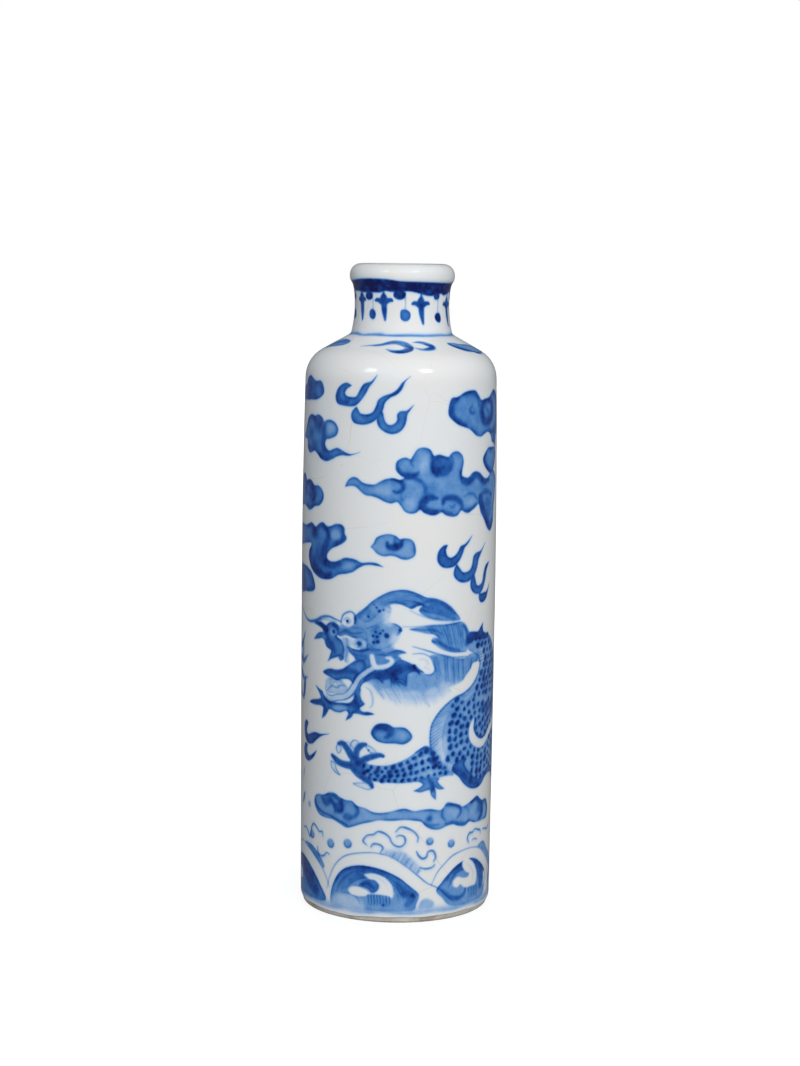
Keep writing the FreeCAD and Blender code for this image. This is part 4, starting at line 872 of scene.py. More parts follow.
    b.stroke([(-3.9, 29.3), (-3.3, 28.9), (-2.95, 28.0), (-3.0, 27.1), (-3.3, 26.8)], [0.05, 0.1, 0.12, 0.1,
        0.05], 0.35, 0.14)


# The edges of the coil's belly, which its plates are laid between.
bellyOuter = [(10.4, 33.0), (11.5, 32.4), (11.9, 31.4), (11.3, 30.0), (10.2, 28.9), (8.9, 28.2),
    (7.5, 27.8), (6.3, 27.1), (5.3, 26.2), (4.5, 25.1), (4.2, 24.2), (4.1, 23.0), (4.2, 22.0), (4.5, 21.0),
    (4.9, 20.0), (5.6, 19.2), (6.4, 18.7), (7.3, 18.4)]
bellyInner = [(12.4, 33.6), (12.9, 32.6), (12.9, 31.2), (12.3, 29.7), (11.2, 28.3), (9.6, 27.3),
    (8.2, 26.8), (7.2, 26.2), (6.5, 25.5), (6.1, 24.7), (5.9, 23.9), (5.8, 22.9), (5.9, 22.0), (6.0, 21.3),
    (6.3, 20.6), (6.6, 20.1), (7.1, 19.7), (7.6, 19.5)]


def bareOfRings(x, y):
    # the coil's belly, the neck above its turn and what lies past its edges carry no rings of scales
    inBelly = x < 6.3 + 0.03 * (y - 23) ** 2 or (x < 10.4 and y < 19.9 - (x - 7.4) * 0.1)
    return inBelly or y > 27.6 - (x - 8) * 0.1 or x > 18 or y < 16.8


def bareOfNeck(x, y):
    # what lies left and right of the neck
    return x < 13.1 - max(0, 31.6 - y) * 0.75 - max(0, y - 32.6) * 1.6 or x > 17.2 - max(0, y - 31) * 0.8


def coil(b):
    # the neck comes down at the right, the belly turns at the left, and the body leaves low to the right
    b.wash(bellyOuter + [(8.0, 18.1), (9.0, 17.0), (10.3, 16.2), (11.6, 16.0), (12.8, 16.3), (13.8, 17.0),
        (15.0, 17.4), (16.6, 17.0), (18.0, 16.6), (18.4, 18.8), (18.2, 21.4), (16.8, 22.4), (15.6, 22.8),
        (16.6, 25.0), (17.3, 27.4), (17.3, 30.0), (16.4, 32.4), (15.0, 34.2), (13.6, 35.0), (12.2, 35.4),
        (10.8, 35.5), (9.6, 35.0), (9.3, 34.2), (9.6, 33.4)], 0.36, 0.16, 0.3)
    b.lift(bellyOuter + bellyInner[::-1], 0.5, 0.2)
    plates(b, bellyOuter, bellyInner, 46, 0.34)
    b.stroke(bellyOuter, [0.05] + [0.1] * 16 + [0.05], 0.45, 0.12)
    b.stroke(bellyInner, [0.04] + [0.07] * 16 + [0.04], 0.35, 0.14)
    b.lift([(5.2, 20.2), (6.4, 20.2), (6.4, 22.6), (5.4, 22.6)], 0.35, 0.6)
    # scales of the turn, in rings round the coil's middle
    middleX, middleY = scales["middle"]
    for ring in range(scales["rings"]):
        radius = scales["outerRing"] - scales["ringGap"] * ring
        count = round(radius * 2 * math.pi / scales["spacing"])
        for k in range(count):
            turn = 2 * math.pi * (k + (0.5 if ring % 2 else 0) + chance.uniform(-0.1, 0.1)) / count
            x, y = middleX + radius * math.cos(turn) * 1.02, middleY + radius * math.sin(turn) * 0.98
            if not bareOfRings(x, y):
                scale(b, x, y)
    # scales of the neck, each row half a step aside
    (left, low), (stepX, stepY) = scales["neckCorner"], scales["neckGap"]
    for j in range(scales["neckRows"]):
        for i in range(scales["neckRows"]):
            x = left + i * stepX + (stepX / 2 if j % 2 else 0) + chance.uniform(-0.1, 0.1)
            y = low + j * stepY + chance.uniform(-0.08, 0.08)
            if not bareOfNeck(x, y):
                scale(b, x, y)
    b.shade([(14.4, 34.4), (16.0, 32.6), (16.8, 30.0), (16.8, 27.2), (16.0, 24.8)], [0.4, 0.8, 0.9, 0.8,
        0.4], 0.3, 0.5)
    b.shade([(12.6, 25.8), (14.0, 25.6), (15.6, 25.6)], [0.4, 0.6, 0.6], 0.4, 0.4)
    # tuft at the nape
    b.wash([(9.2, 35.0), (9.6, 35.6), (10.5, 35.6), (11.3, 35.5), (11.8, 35.9), (12.5, 36.5), (12.5, 36.5),
        (12.4, 35.8), (12.8, 35.2), (13.9, 34.9), (13.2, 34.4), (12.0, 34.4), (10.8, 34.6), (9.8, 34.2),
        (9.2, 34.3)], 0.72, 0.25, 0.25)
    b.shade([(9.6, 34.9), (10.6, 35.1), (11.8, 35.0), (13.0, 34.9)], [0.3, 0.35, 0.35, 0.2], 0.5)
    # white gap between the coil's arms, and the scaled end of the inner arm
    b.spare([(10.8, 24.9), (10.1, 24.2), (9.8, 23.2), (10.0, 22.2), (10.8, 21.3), (12.0, 20.8),
        (13.2, 20.9), (14.2, 21.4), (15.4, 22.2), (17.0, 22.9), (18.6, 23.0), (18.6, 23.9), (17.0, 23.8),
        (15.6, 23.4), (14.6, 22.9), (13.6, 22.2), (12.4, 22.0), (11.4, 22.6), (10.9, 23.4), (11.0, 24.0)])
    b.stroke([(11.0, 24.6), (10.9, 23.5), (11.5, 22.6), (12.5, 22.1), (13.6, 22.3), (14.6, 23.0)], [0.1,
        0.14, 0.16, 0.16, 0.14, 0.1], 0.65, 0.12)
    b.stroke([(10.8, 24.9), (10.0, 24.1), (9.8, 23.1), (10.1, 22.0), (11.0, 21.2), (12.2, 20.8),
        (13.4, 21.0), (15.0, 22.0)], [0.06] + [0.09] * 6 + [0.06], 0.4, 0.13)
    # back fin along the low arm
    b.wash([(7.2, 18.7), (7.4, 19.4), (8.0, 19.8), (8.8, 20.0), (9.6, 20.0), (9.2, 19.4), (9.6, 18.7),
        (10.3, 18.0), (11.2, 17.3), (12.4, 17.0), (13.8, 17.6), (15.0, 18.0), (16.6, 17.8), (18.2, 17.6),
        (18.2, 16.4), (16.6, 16.9), (15.0, 17.2), (13.8, 16.9), (12.8, 16.2), (11.6, 15.9), (10.3, 16.1),
        (9.2, 16.8), (8.2, 17.9)], 0.6, 0.3, 0.28)
    b.shade([(7.5, 18.9), (8.4, 18.6), (9.4, 17.6), (10.6, 16.8), (12.0, 16.4)], [0.25, 0.35, 0.35, 0.3,
        0.2], 0.5)


def foreleg(b):
    upper = [(-4.4, 20.3), (-3.4, 19.8), (-2.0, 19.7), (-0.5, 19.9), (0.8, 20.4), (1.8, 21.0), (2.6, 21.6),
        (3.6, 22.1), (4.4, 21.6), (5.2, 20.4)]
    lower = [(-4.2, 18.6), (-3.4, 17.9), (-2.0, 17.7), (-0.5, 17.6), (1.0, 17.6), (2.2, 17.7), (3.6, 17.7),
        (5.0, 18.0), (6.4, 18.2), (7.4, 18.3)]
    b.wash(upper + lower[::-1], 0.3, 0.24, 0.25)
    rows = [(0.14, 12, 0.02), (0.38, 13, 0.0), (0.62, 14, 0.03), (0.86, 14, 0.0)]  # across, count, start
    for across, count, first in rows:
        for k in range(count):
            share = first + (k + 0.4) / count * 0.97
            x, y = between(upper, lower, min(share, 0.97), across)
            scale(b, x + chance.uniform(-0.06, 0.06), y + chance.uniform(-0.05, 0.05), scales["legRadius"])
    b.shade([(2.4, 21.4), (3.4, 21.9), (4.3, 21.4), (4.8, 20.4)], [0.12, 0.25, 0.3, 0.2], 0.5, 0.15)
    b.shade([(4.4, 20.3), (4.9, 19.8)], [0.4, 0.3], 0.6, 0.15)
    # elbow tuft
    b.wash([(2.7, 17.9), (3.3, 17.4), (2.9, 17.0), (2.1, 16.6), (2.1, 16.6), (3.0, 16.4), (3.8, 16.6),
        (4.2, 16.6), (4.4, 15.9), (5.0, 15.3), (5.0, 15.3), (5.0, 16.2), (4.9, 16.9), (5.4, 16.6),
        (6.2, 16.6), (6.2, 16.6), (5.6, 17.1), (5.2, 17.6), (5.4, 18.0), (4.0, 18.2)], 0.48, 0.28, 0.2)
    b.shade([(4.1, 17.9), (4.5, 17.2), (4.6, 16.5)], [0.2, 0.3, 0.15], 0.5, 0.12)


def paw(b):
    # five long toes that spread from the wrist, as lines and half widths, each with a pale claw
    toes = [([(-4.6, 19.9), (-5.6, 20.6), (-6.2, 21.4), (-6.9, 22.0), (-7.5, 21.9)], [0.4, 0.42, 0.38, 0.34,
        0.2]), ([(-4.8, 19.5), (-6.2, 19.4), (-7.4, 19.6), (-8.2, 20.1), (-8.5, 20.3)], [0.4, 0.4, 0.36,
        0.36, 0.2]), ([(-4.9, 19.8), (-5.0, 20.6), (-4.9, 21.4), (-4.4, 22.0), (-3.8, 22.2)], [0.4, 0.34,
        0.34, 0.34, 0.2]), ([(-4.8, 19.7), (-3.8, 20.4), (-2.8, 20.8), (-2.0, 21.0), (-1.6, 20.9)], [0.4,
        0.36, 0.32, 0.3, 0.18]), ([(-5.6, 19.4), (-4.8, 18.6), (-3.9, 18.0), (-3.2, 17.5), (-2.9, 17.0)],
        [0.4, 0.42, 0.38, 0.34, 0.2])]
    claws = [
        [(-7.6, 21.9), (-7.9, 21.3), (-7.6, 20.7), (-7.2, 20.9), (-7.1, 21.5)],
        [(-8.7, 19.6), (-8.6, 18.8), (-7.9, 18.2), (-7.2, 18.0), (-7.8, 18.7), (-8.0, 19.3)],
        [(-5.8, 22.0), (-5.4, 22.6), (-4.7, 22.5), (-4.9, 22.0), (-5.3, 21.5)],
        [(-3.7, 22.2), (-3.0, 21.9), (-2.4, 21.3), (-3.0, 21.2), (-3.6, 21.6)],
        [(-2.8, 16.9), (-3.4, 16.6), (-4.3, 16.8), (-5.4, 17.2), (-4.3, 17.4), (-3.4, 17.4)],
    ]
    for claw in claws:
        b.wash(claw, 0.1, 0.3, 0.16, 0.1)
        b.stroke(claw + claw[:1], 0.05, 0.3, 0.1)
    for line, width in toes:
        b.stroke(line, [w * 1.2 for w in width], 0.64, 0.12, "level")
        b.stroke(line, [w * 0.5 for w in width], 0.3, 0.2, "deepen")
    b.wash([(-5.7, 20.2), (-4.8, 20.6), (-4.2, 20.2), (-3.9, 19.3), (-4.2, 18.6), (-5.0, 18.6),
        (-5.8, 19.1)], 0.6, 0.2, 0.25)
    b.dot(-4.8, 19.8, 0.35, 0.6, 0.2)
    b.dot(-3.4, 21.5, 0.1, 0.9)
    b.dot(-3.1, 21.2, 0.06, 0.6)
    b.stroke([(-6.6, 22.1), (-6.0, 22.3), (-5.8, 21.8)], 0.06, 0.4, 0.1)


def edgeMarks(b):
    # what shows of the tail's fins at the left edge
    b.stroke([(-15.6, 33.6), (-15.8, 32.0), (-15.9, 30.4)], [0.2, 0.45, 0.2], 0.4, 0.25)
    b.stroke([(-14.7, 29.1), (-15.0, 28.0), (-15.2, 27.0), (-15.6, 26.1)], [0.1, 0.42, 0.42, 0.08], 0.72,
        0.16)
    b.stroke([(-14.8, 17.6), (-15.2, 16.8), (-15.4, 16.0)], [0.08, 0.22, 0.08], 0.35, 0.2)
    b.stroke([(-14.7, 14.4), (-15.2, 13.6), (-15.6, 13.0)], [0.15, 0.35, 0.15], 0.5, 0.2)
    b.dot(-13.2, 13.25, 0.42, 0.35, 0.2)


def dragonFront(b):
    for part in (mane, horns, brows, face, jaws, coil, foreleg, paw):
        part(b)


# The sea at the foot: banded arcs of swell, curling foam and spray.
def blob(x, y, wide, tall, turn=0.0, wobble=0.1, count=9):
    # an uneven round outline
    points = []
    for k in range(count):
        angle = 2 * math.pi * k / count
        reach = 1 + chance.uniform(-wobble, wobble)
        a, c = wide * reach * math.cos(angle), tall * reach * math.sin(angle)
        across, up = a * math.cos(turn) - c * math.sin(turn), a * math.sin(turn) + c * math.cos(turn)
        points.append((x + across, y + up))
    return points


def hollow(b, arc, core, floor, tone=0.44):
    # the dark water inside a swell: paler towards its floor, streaked with its arc
    b.wash(arc + floor, tone, 0.12, 0.5, 0.12, (0, 0.12))
    b.shade(arc[1:-1], [0.1, 0.3, 0.35, 0.3, 0.2], 0.34)
    fibres(b, arc, core, 22, 0.07, 0.5)
    fibres(b, arc, core, 10, 0.05, 0.26, "wipe")
    b.stroke(arc, [0.06, 0.12, 0.14, 0.12, 0.08], 0.4, 0.1, "deepen")


def comb(b, left, right, top, low, count):
    # upright teeth of foam, drawn as dark bars on pale blue
    middle = (left + right) / 2
    upper = [(left, top - 0.1), (middle, top + 0.1), (right, top - 0.2)]
    b.wash(upper + [(right + 0.1, low + 0.2), (middle, low), (left - 0.1, low + 0.2)], 0.36, 0.1, 0.2)
    for k in range(count):
        x = left + (right - left) * (k + 0.5) / count
        bar = [(x, top - 0.05), (x + 0.08, (top + low) / 2), (x + 0.02, low + 0.2)]
        b.stroke(bar, [0.09, 0.07, 0.04], chance.uniform(0.3, 0.5), 0.06, "deepen")


def crest(b, outer):
    b.stroke(outer, [0.05, 0.08, 0.1, 0.07, 0.08, 0.1, 0.08, 0.05], 0.48, 0.12)


def swellOne(b):
    # a white band rounds a dark hollow with a hook of foam in it
    crest(b, [(-9.3, 3.4), (-8.8, 5.0), (-7.9, 6.7), (-6.6, 7.9), (-5.0, 8.5), (-2.8, 8.8), (-0.8, 8.5),
        (1.0, 7.5), (2.6, 6.2), (4.0, 5.0), (5.5, 4.2), (6.6, 3.2), (7.8, 2.2)])
    arc = [(-8.7, 2.2), (-8.3, 4.0), (-7.2, 5.8), (-5.8, 6.7), (-3.9, 7.05), (-1.6, 6.7), (0.4, 5.8),
        (1.8, 4.7), (3.0, 3.6)]
    core = [(-7.0, 2.0), (-6.7, 3.0), (-6.0, 4.2), (-5.0, 5.0), (-3.8, 5.5), (-2.2, 5.4), (-0.6, 4.4),
        (0.0, 3.4), (0.4, 2.2)]
    hollow(b, arc, core, [(2.7, 2.4), (2.2, 1.6), (-0.6, 1.5), (-4.4, 1.5), (-8.2, 1.6)])
    b.lift([(-8.3, 1.5), (-8.1, 2.8), (-6.6, 3.3), (-5.2, 3.2), (-4.2, 2.6), (-4.0, 1.5)], 0.42, 0.4)
    b.shade([(-6.9, 3.3), (-5.8, 3.4), (-4.8, 3.0), (-4.3, 2.2)], [0.04, 0.1, 0.1, 0.04], 0.3, -0.05)
    b.wash([(-4.6, 4.5), (-3.8, 5.3), (-2.7, 5.5), (-1.9, 4.9), (-2.0, 4.1), (-2.8, 3.7), (-3.3, 4.2),
        (-4.0, 4.4)], 0.62, 0.14, 0.2)
    b.shade([(-4.2, 4.7), (-3.4, 4.9), (-2.6, 4.4)], [0.1, 0.2, 0.15], 0.4, -0.02)
    b.shade([(0.3, 5.0), (1.2, 4.0), (2.1, 3.3), (1.6, 2.4)], [0.3, 0.6, 0.6, 0.4], 0.36, 0.3)
    fibres(b, [(-0.1, 5.6), (0.2, 4.0), (0.4, 2.2)], [(1.6, 4.8), (2.3, 3.6), (2.2, 2.4)], 8, 0.06, 0.45)
    b.spare([(-3.8, 6.0), (-2.6, 6.2), (-1.3, 5.8), (-0.4, 4.9), (-0.15, 3.8), (-0.4, 3.2), (-1.4, 3.4),
        (-2.6, 3.5), (-3.6, 3.3), (-4.8, 3.2), (-5.7, 3.4), (-5.9, 3.9), (-5.4, 4.3), (-4.6, 4.35),
        (-3.6, 4.1), (-2.9, 3.7), (-2.2, 4.0), (-1.9, 4.7), (-2.4, 5.35), (-3.2, 5.5)], 0.13)
    b.stroke([(-3.5, 5.85), (-2.4, 5.8), (-1.3, 5.2), (-0.8, 4.3)], [0.03, 0.06, 0.06, 0.03], 0.22, 0.12)
    comb(b, -3.5, -0.5, 3.5, 2.0, 8)
    b.dot(-1.4, 2.3, 0.16, 0.6, 0.12)
    b.dot(2.2, 3.45, 0.3, 0.55, 0.2)
    # blue outside the band
    roots, tips = [(-1.3, 8.7), (0.0, 8.1), (1.2, 7.3), (2.7, 6.2)], [(-1.0, 9.3), (0.7, 9.2), (1.9, 8.4),
        (3.2, 7.0)]
    b.wash(roots + tips[::-1], 0.24, 0, soft=0.3)
    hairs(b, roots, tips, 24, 0.1, 0.5, (0.6, 1.0), "level", 0.1)
    b.wash([(2.9, 2.0), (3.4, 2.9), (4.2, 3.0), (5.0, 2.4), (4.6, 1.8), (3.3, 1.7)], 0.3, 0.08, 0.2, 0.2)


def swellTwo(b):
    crest(b, [(4.6, 4.7), (5.4, 6.2), (6.3, 7.1), (7.5, 8.0), (9.0, 8.4), (10.5, 8.5), (12.0, 8.3),
        (13.3, 7.7), (14.3, 6.9), (15.3, 6.0), (16.6, 4.8), (17.6, 3.4)])
    arc = [(5.3, 3.9), (6.2, 5.0), (7.3, 6.0), (8.4, 6.7), (10.0, 7.15), (11.6, 6.9), (13.0, 6.1),
        (14.2, 5.1), (14.7, 4.3)]
    core = [(7.2, 3.6), (7.3, 4.3), (7.6, 5.0), (8.2, 5.6), (9.4, 5.9), (11.6, 5.6), (12.2, 4.6),
        (12.4, 3.6), (12.2, 2.8)]
    hollow(b, arc, core, [(14.6, 3.2), (13.9, 1.8), (12.0, 1.5), (9.0, 1.5), (7.2, 1.8), (6.1, 2.9)])
    b.shade([(6.0, 3.9), (7.2, 2.9), (8.6, 2.5), (9.6, 2.9), (9.8, 3.6)], [0.1, 0.25, 0.3, 0.25, 0.1], 0.42,
        0.1)
    b.shade([(12.8, 6.0), (13.4, 4.8), (13.2, 3.2)], [0.3, 0.6, 0.5], 0.42, 0.25)
    b.wash([(12.2, 8.3), (13.0, 8.7), (14.0, 8.6), (15.0, 7.6), (16.2, 6.6), (17.4, 5.2), (16.8, 4.9),
        (15.4, 6.1), (14.3, 7.1), (13.3, 7.8)], 0.4, 0.18, 0.25)
    b.spare([(9.2, 6.9), (9.3, 6.2), (9.9, 5.6), (10.5, 5.3), (10.3, 4.9), (9.4, 4.9), (8.4, 5.2),
        (7.7, 4.7), (7.8, 4.1), (8.4, 3.9), (8.9, 4.2), (9.6, 3.7), (10.6, 3.5), (11.6, 3.5), (12.1, 4.2),
        (12.1, 5.2), (11.5, 6.3), (10.7, 7.0), (9.9, 7.3)], 0.13)
    b.stroke([(10.0, 6.6), (10.8, 6.0), (11.3, 5.2), (11.2, 4.4)], [0.03, 0.06, 0.06, 0.03], 0.26, 0.12)
    comb(b, 10.2, 12.3, 3.5, 2.0, 6)
    b.spare([(14.0, 4.6), (14.2, 3.8), (14.0, 3.0), (14.4, 3.2), (14.6, 4.0), (14.4, 4.7)], 0.12)


def swellThree(b):
    # the swell that runs off to the left
    arc = [(-19.8, 2.0), (-19.6, 3.8), (-18.6, 5.2), (-17.2, 6.0), (-15.6, 6.3), (-14.0, 6.0), (-12.4, 5.2),
        (-11.0, 4.0), (-9.5, 2.2)]
    core = [(-18.6, 2.0), (-18.2, 3.2), (-17.4, 4.0), (-16.6, 4.4), (-15.6, 4.6), (-14.4, 4.3),
        (-13.4, 3.6), (-12.8, 2.8), (-12.4, 1.8)]
    hollow(b, arc, core, [(-10.2, 1.6), (-13.0, 1.5), (-16.0, 1.5), (-19.0, 1.6)], 0.56)
    b.shade([(-14.6, 4.6), (-13.0, 3.6), (-11.4, 2.6)], [0.8, 1.0, 0.6], 0.5, 0.5)
    b.spare([(-17.6, 4.3), (-16.6, 4.6), (-15.9, 4.0), (-15.9, 3.2), (-16.8, 3.0), (-17.8, 3.3)], 0.13)
    crest(b, [(-20.6, 4.2), (-19.4, 6.2), (-18.0, 7.3), (-16.2, 8.0), (-14.6, 8.0), (-12.8, 7.5),
        (-11.3, 6.7), (-10.1, 5.7), (-9.3, 4.6), (-8.9, 3.6)])
    outside = [(-14.4, 8.0), (-12.8, 7.5), (-11.3, 6.7), (-10.2, 5.8)], [(-14.2, 8.3), (-12.4, 8.2),
        (-10.8, 7.3), (-9.8, 6.2)]
    b.wash(outside[0] + outside[1][::-1], 0.42, 0.16, 0.25)
    fibres(b, *outside, 5, 0.06, 0.4)


foamLines = [[(-1.8, 8.9), (-1.5, 9.5), (-2.0, 9.9), (-2.7, 9.9), (-3.0, 9.5)], [(-3.5, 9.7), (-4.0, 10.2),
    (-3.5, 10.9), (-2.7, 11.1), (-2.1, 11.5), (-1.3, 11.3), (-0.7, 10.8), (-0.5, 10.3), (0.0, 9.8),
    (0.7, 9.7), (1.2, 10.2), (1.1, 10.9), (0.5, 11.1), (0.1, 10.9)], [(0.0, 11.5), (0.6, 12.1), (1.4, 12.0),
    (2.3, 11.5), (2.8, 10.8), (2.7, 10.2)], [(2.6, 9.1), (2.9, 8.5), (3.4, 8.1), (3.9, 8.3), (4.1, 8.9),
    (4.7, 9.0), (5.0, 8.6), (5.1, 8.1), (4.8, 7.6)], [(3.1, 7.0), (3.8, 6.8), (4.6, 6.9), (5.0, 7.2)],
    [(-15.2, 9.9), (-14.2, 10.1), (-13.5, 9.6), (-13.0, 9.2), (-12.6, 10.4), (-12.1, 11.0), (-11.5, 10.8),
    (-10.8, 10.3), (-10.2, 10.4), (-10.1, 9.8)], [(-11.2, 8.3), (-11.0, 7.6), (-10.4, 7.3), (-9.8, 7.5),
    (-9.4, 7.9), (-8.9, 7.8)], [(10.3, 9.2), (10.0, 9.8), (10.4, 10.4), (11.0, 10.4), (11.5, 10.7),
    (12.2, 10.5), (12.8, 10.3), (12.9, 9.9)], [(10.9, 9.4), (11.4, 9.5), (12.0, 9.3)], [(13.5, 10.3),
    (14.3, 10.2), (15.0, 10.0), (15.8, 10.4)]]


def foam(b, lines):
    for line in lines:
        widths = [0.06] + [0.12] * (len(line) - 2) + [0.06]
        b.stroke([(x + 0.1, y - 0.2) for x, y in line], 0.22, 0.1, 0.25)
        b.stroke(line, [w * chance.uniform(0.65, 1.1) for w in widths], 0.54, 0.11)


def spray(b, drops):
    for x, y, radius in drops:
        b.dot(x, y, radius, 0.36, 0.14)
        lower = [(-0.7, 0.2), (-0.5, -0.5), (0, -0.75), (0.6, -0.5), (0.8, 0.1)]  # the drop's shaded side
        shaded = [(x + radius * across, y + radius * up) for across, up in lower]
        b.stroke(shaded, [0.06, 0.12, 0.14, 0.12, 0.06], 0.35, 0.14, "deepen")


def seaFront(b):
    swellThree(b)
    swellTwo(b)
    swellOne(b)
    foam(b, foamLines)
    spray(b, ((-8.7, 9.2, 0.62), (-6.1, 9.6, 0.62), (4.3, 10.2, 0.52), (7.3, 9.6, 0.55),
        (-12.4, 9.6, 0.55)))


def wavering(middle, spread, points):
    # a half width for each point, a little more or less than the middle one
    return [middle + chance.uniform(-spread, spread) for _ in points]


footLine = {"height": 1.42, "points": 48, "sway": 0.08, "pitch": 1.7, "jitter": 0.04}


def lineRound(b, look):
    # a line once round the bottle, drawn by hand on the wheel
    length, last = 2 * math.pi * b.ring, look["points"]
    points = []
    for k in range(last + 1):
        sway = look["sway"] * math.sin(k * look["pitch"])
        height = look["height"] + sway + chance.uniform(-look["jitter"], look["jitter"])
        points.append((length * k / last - length / 2, height))
    return points


def footBand(b):
    # the pale blue line that closes the picture above the foot
    points = lineRound(b, footLine)
    b.stroke([(x, y + 0.1) for x, y in points], wavering(0.42, 0.08, points), 0.26, 0.4, "level")
    b.stroke([(x, y - 0.15) for x, y in points], wavering(0.14, 0.06, points), 0.14, 0.2)


# Neck and shoulder: a dark collar band with hanging blossoms and beads, and curling wisps below.
def neckBand(b):
    # uneven lower edge, as if drawn in scallops; the upper edge is a plain line
    upper = [(-18.6, 80.7), (-14.0, 80.75), (-9.0, 80.7), (-5.0, 81.1), (-2.0, 81.1), (0.0, 80.85),
        (3.0, 80.75), (7.0, 80.6), (12.0, 80.7), (18.6, 80.7)]
    lower = [(-18.6, 79.2), (-16.6, 79.5), (-14.4, 79.2), (-12.2, 79.5), (-10.0, 79.2), (-8.0, 79.5),
        (-6.3, 79.5), (-5.5, 79.4), (-3.5, 79.4), (-2.8, 79.4), (-2.0, 79.6), (-1.2, 79.5), (0.6, 79.6),
        (1.5, 79.5), (3.0, 79.1), (4.0, 79.05), (5.5, 79.3), (6.2, 79.1), (8.4, 79.5), (10.6, 79.2),
        (13.0, 79.5), (15.2, 79.2), (17.2, 79.5), (18.6, 79.2)]
    b.wash(upper[:1] + upper + upper[-1:] + lower[::-1][:1] + lower[::-1] + lower[:1], 1.0, 0.06, 0.2)
    darker = [(-5.2, 1.3), (5.6, 1.6), (6.4, 0.8), (-8.6, 0.9), (9.6, 1.0), (-12.8, 0.8), (13.4, 0.9),
        (-16.4, 0.9), (17.0, 0.8)]
    for x, half in darker:
        b.shade([(x - half, 79.95), (x, 79.8), (x + half, 79.95)], [0.2, 0.42, 0.2], 0.85, 0.25)


def blossom(b, x, y, wide, stem):
    # a flower whose two side petals droop, on a stalk from the band, and a stem that tapers downwards
    petal = [(x + wide * 0.35, y + 0.4), (x + wide * 0.8, y + 0.35), (x + wide, y),
        (x + wide * 0.6, y - 0.12), (x + wide * 0.3, y - 0.4)]
    facing = [(x - wide * 0.3, y - 0.4), (x - wide * 0.6, y - 0.12), (x - wide, y),
        (x - wide * 0.8, y + 0.35), (x - wide * 0.35, y + 0.4)]
    stalk = [(x - 0.12, y + 0.95), (x, 79.5), (x + 0.12, y + 0.95)]
    b.wash(facing[2:] + stalk + petal + [(x, y - 0.5)] + facing[:2], 0.78, 0.12, 0.2, 0.12)
    b.stroke([(x, y + 0.65), (x, y + 0.3)], [0.3, 0.5], 0.78, 0.14, "level")
    b.stroke([(x, y), (x + 0.1, (y + stem) / 2), (x + 0.25, stem)], [0.4, 0.34, 0.14], 0.76, 0.14, "level")
    b.pool(x, y, 0.4, 0.5)


def bead(b, x, y, radius, top, tone):
    # a bead on a thread
    b.stroke([(x, top), (x + 0.04, (top + y) / 2), (x, y + radius * 0.6)], [0.1, 0.07, 0.07], 0.35, 0.12)
    b.wash(blob(x, y, radius * 1.02, radius * 1.2, 0.3, 0.08), tone, 0.2, 0.2)


neckPieces = {  # places, in mm, and sizes
    "blossoms": [
        (-5.8, 78.4, 0.8, 76.1),
        (-2.3, 78.35, 1.25, 76.1),
        (2.4, 78.0, 1.25, 75.7),
        (7.1, 77.9, 1.1, 75.4),
    ],
    "beads": [
        (-3.85, 76.75, 0.5, 0.74),
        (0.4, 76.7, 0.62, 0.6),
        (4.95, 76.4, 0.5, 0.84),
        (-7.9, 76.7, 0.52, 0.7),
    ],
    "beadTop": 79.3,
    "knots": [(-4.4, 79.0, 0.6), (4.7, 79.0, 0.5), (-0.3, 79.2, 0.75), (8.6, 78.9, 0.5), (-8.0, 78.9, 0.5)],
    "line": {"height": 74.2, "points": 30, "sway": 0.05, "pitch": 2.1, "jitter": 0.03},
}


def neckPendants(b):
    for x, y, wide, stem in neckPieces["blossoms"]:
        blossom(b, x, y, wide, stem)
    for x, y, radius, tone in neckPieces["beads"]:
        bead(b, x, y, radius, neckPieces["beadTop"], tone)
    for x, y, radius in neckPieces["knots"]:
        b.wash(blob(x, y, radius, radius * 0.85, wobble=0.06), 0.84, 0.12, 0.2)


def neckLine(b):
    # the pale line at the neck's foot
    points = lineRound(b, neckPieces["line"])
    b.stroke(points, wavering(0.25, 0.06, points), 0.32, 0.28)
    b.stroke(points, wavering(0.12, 0.06, points), 0.28, 0.16)


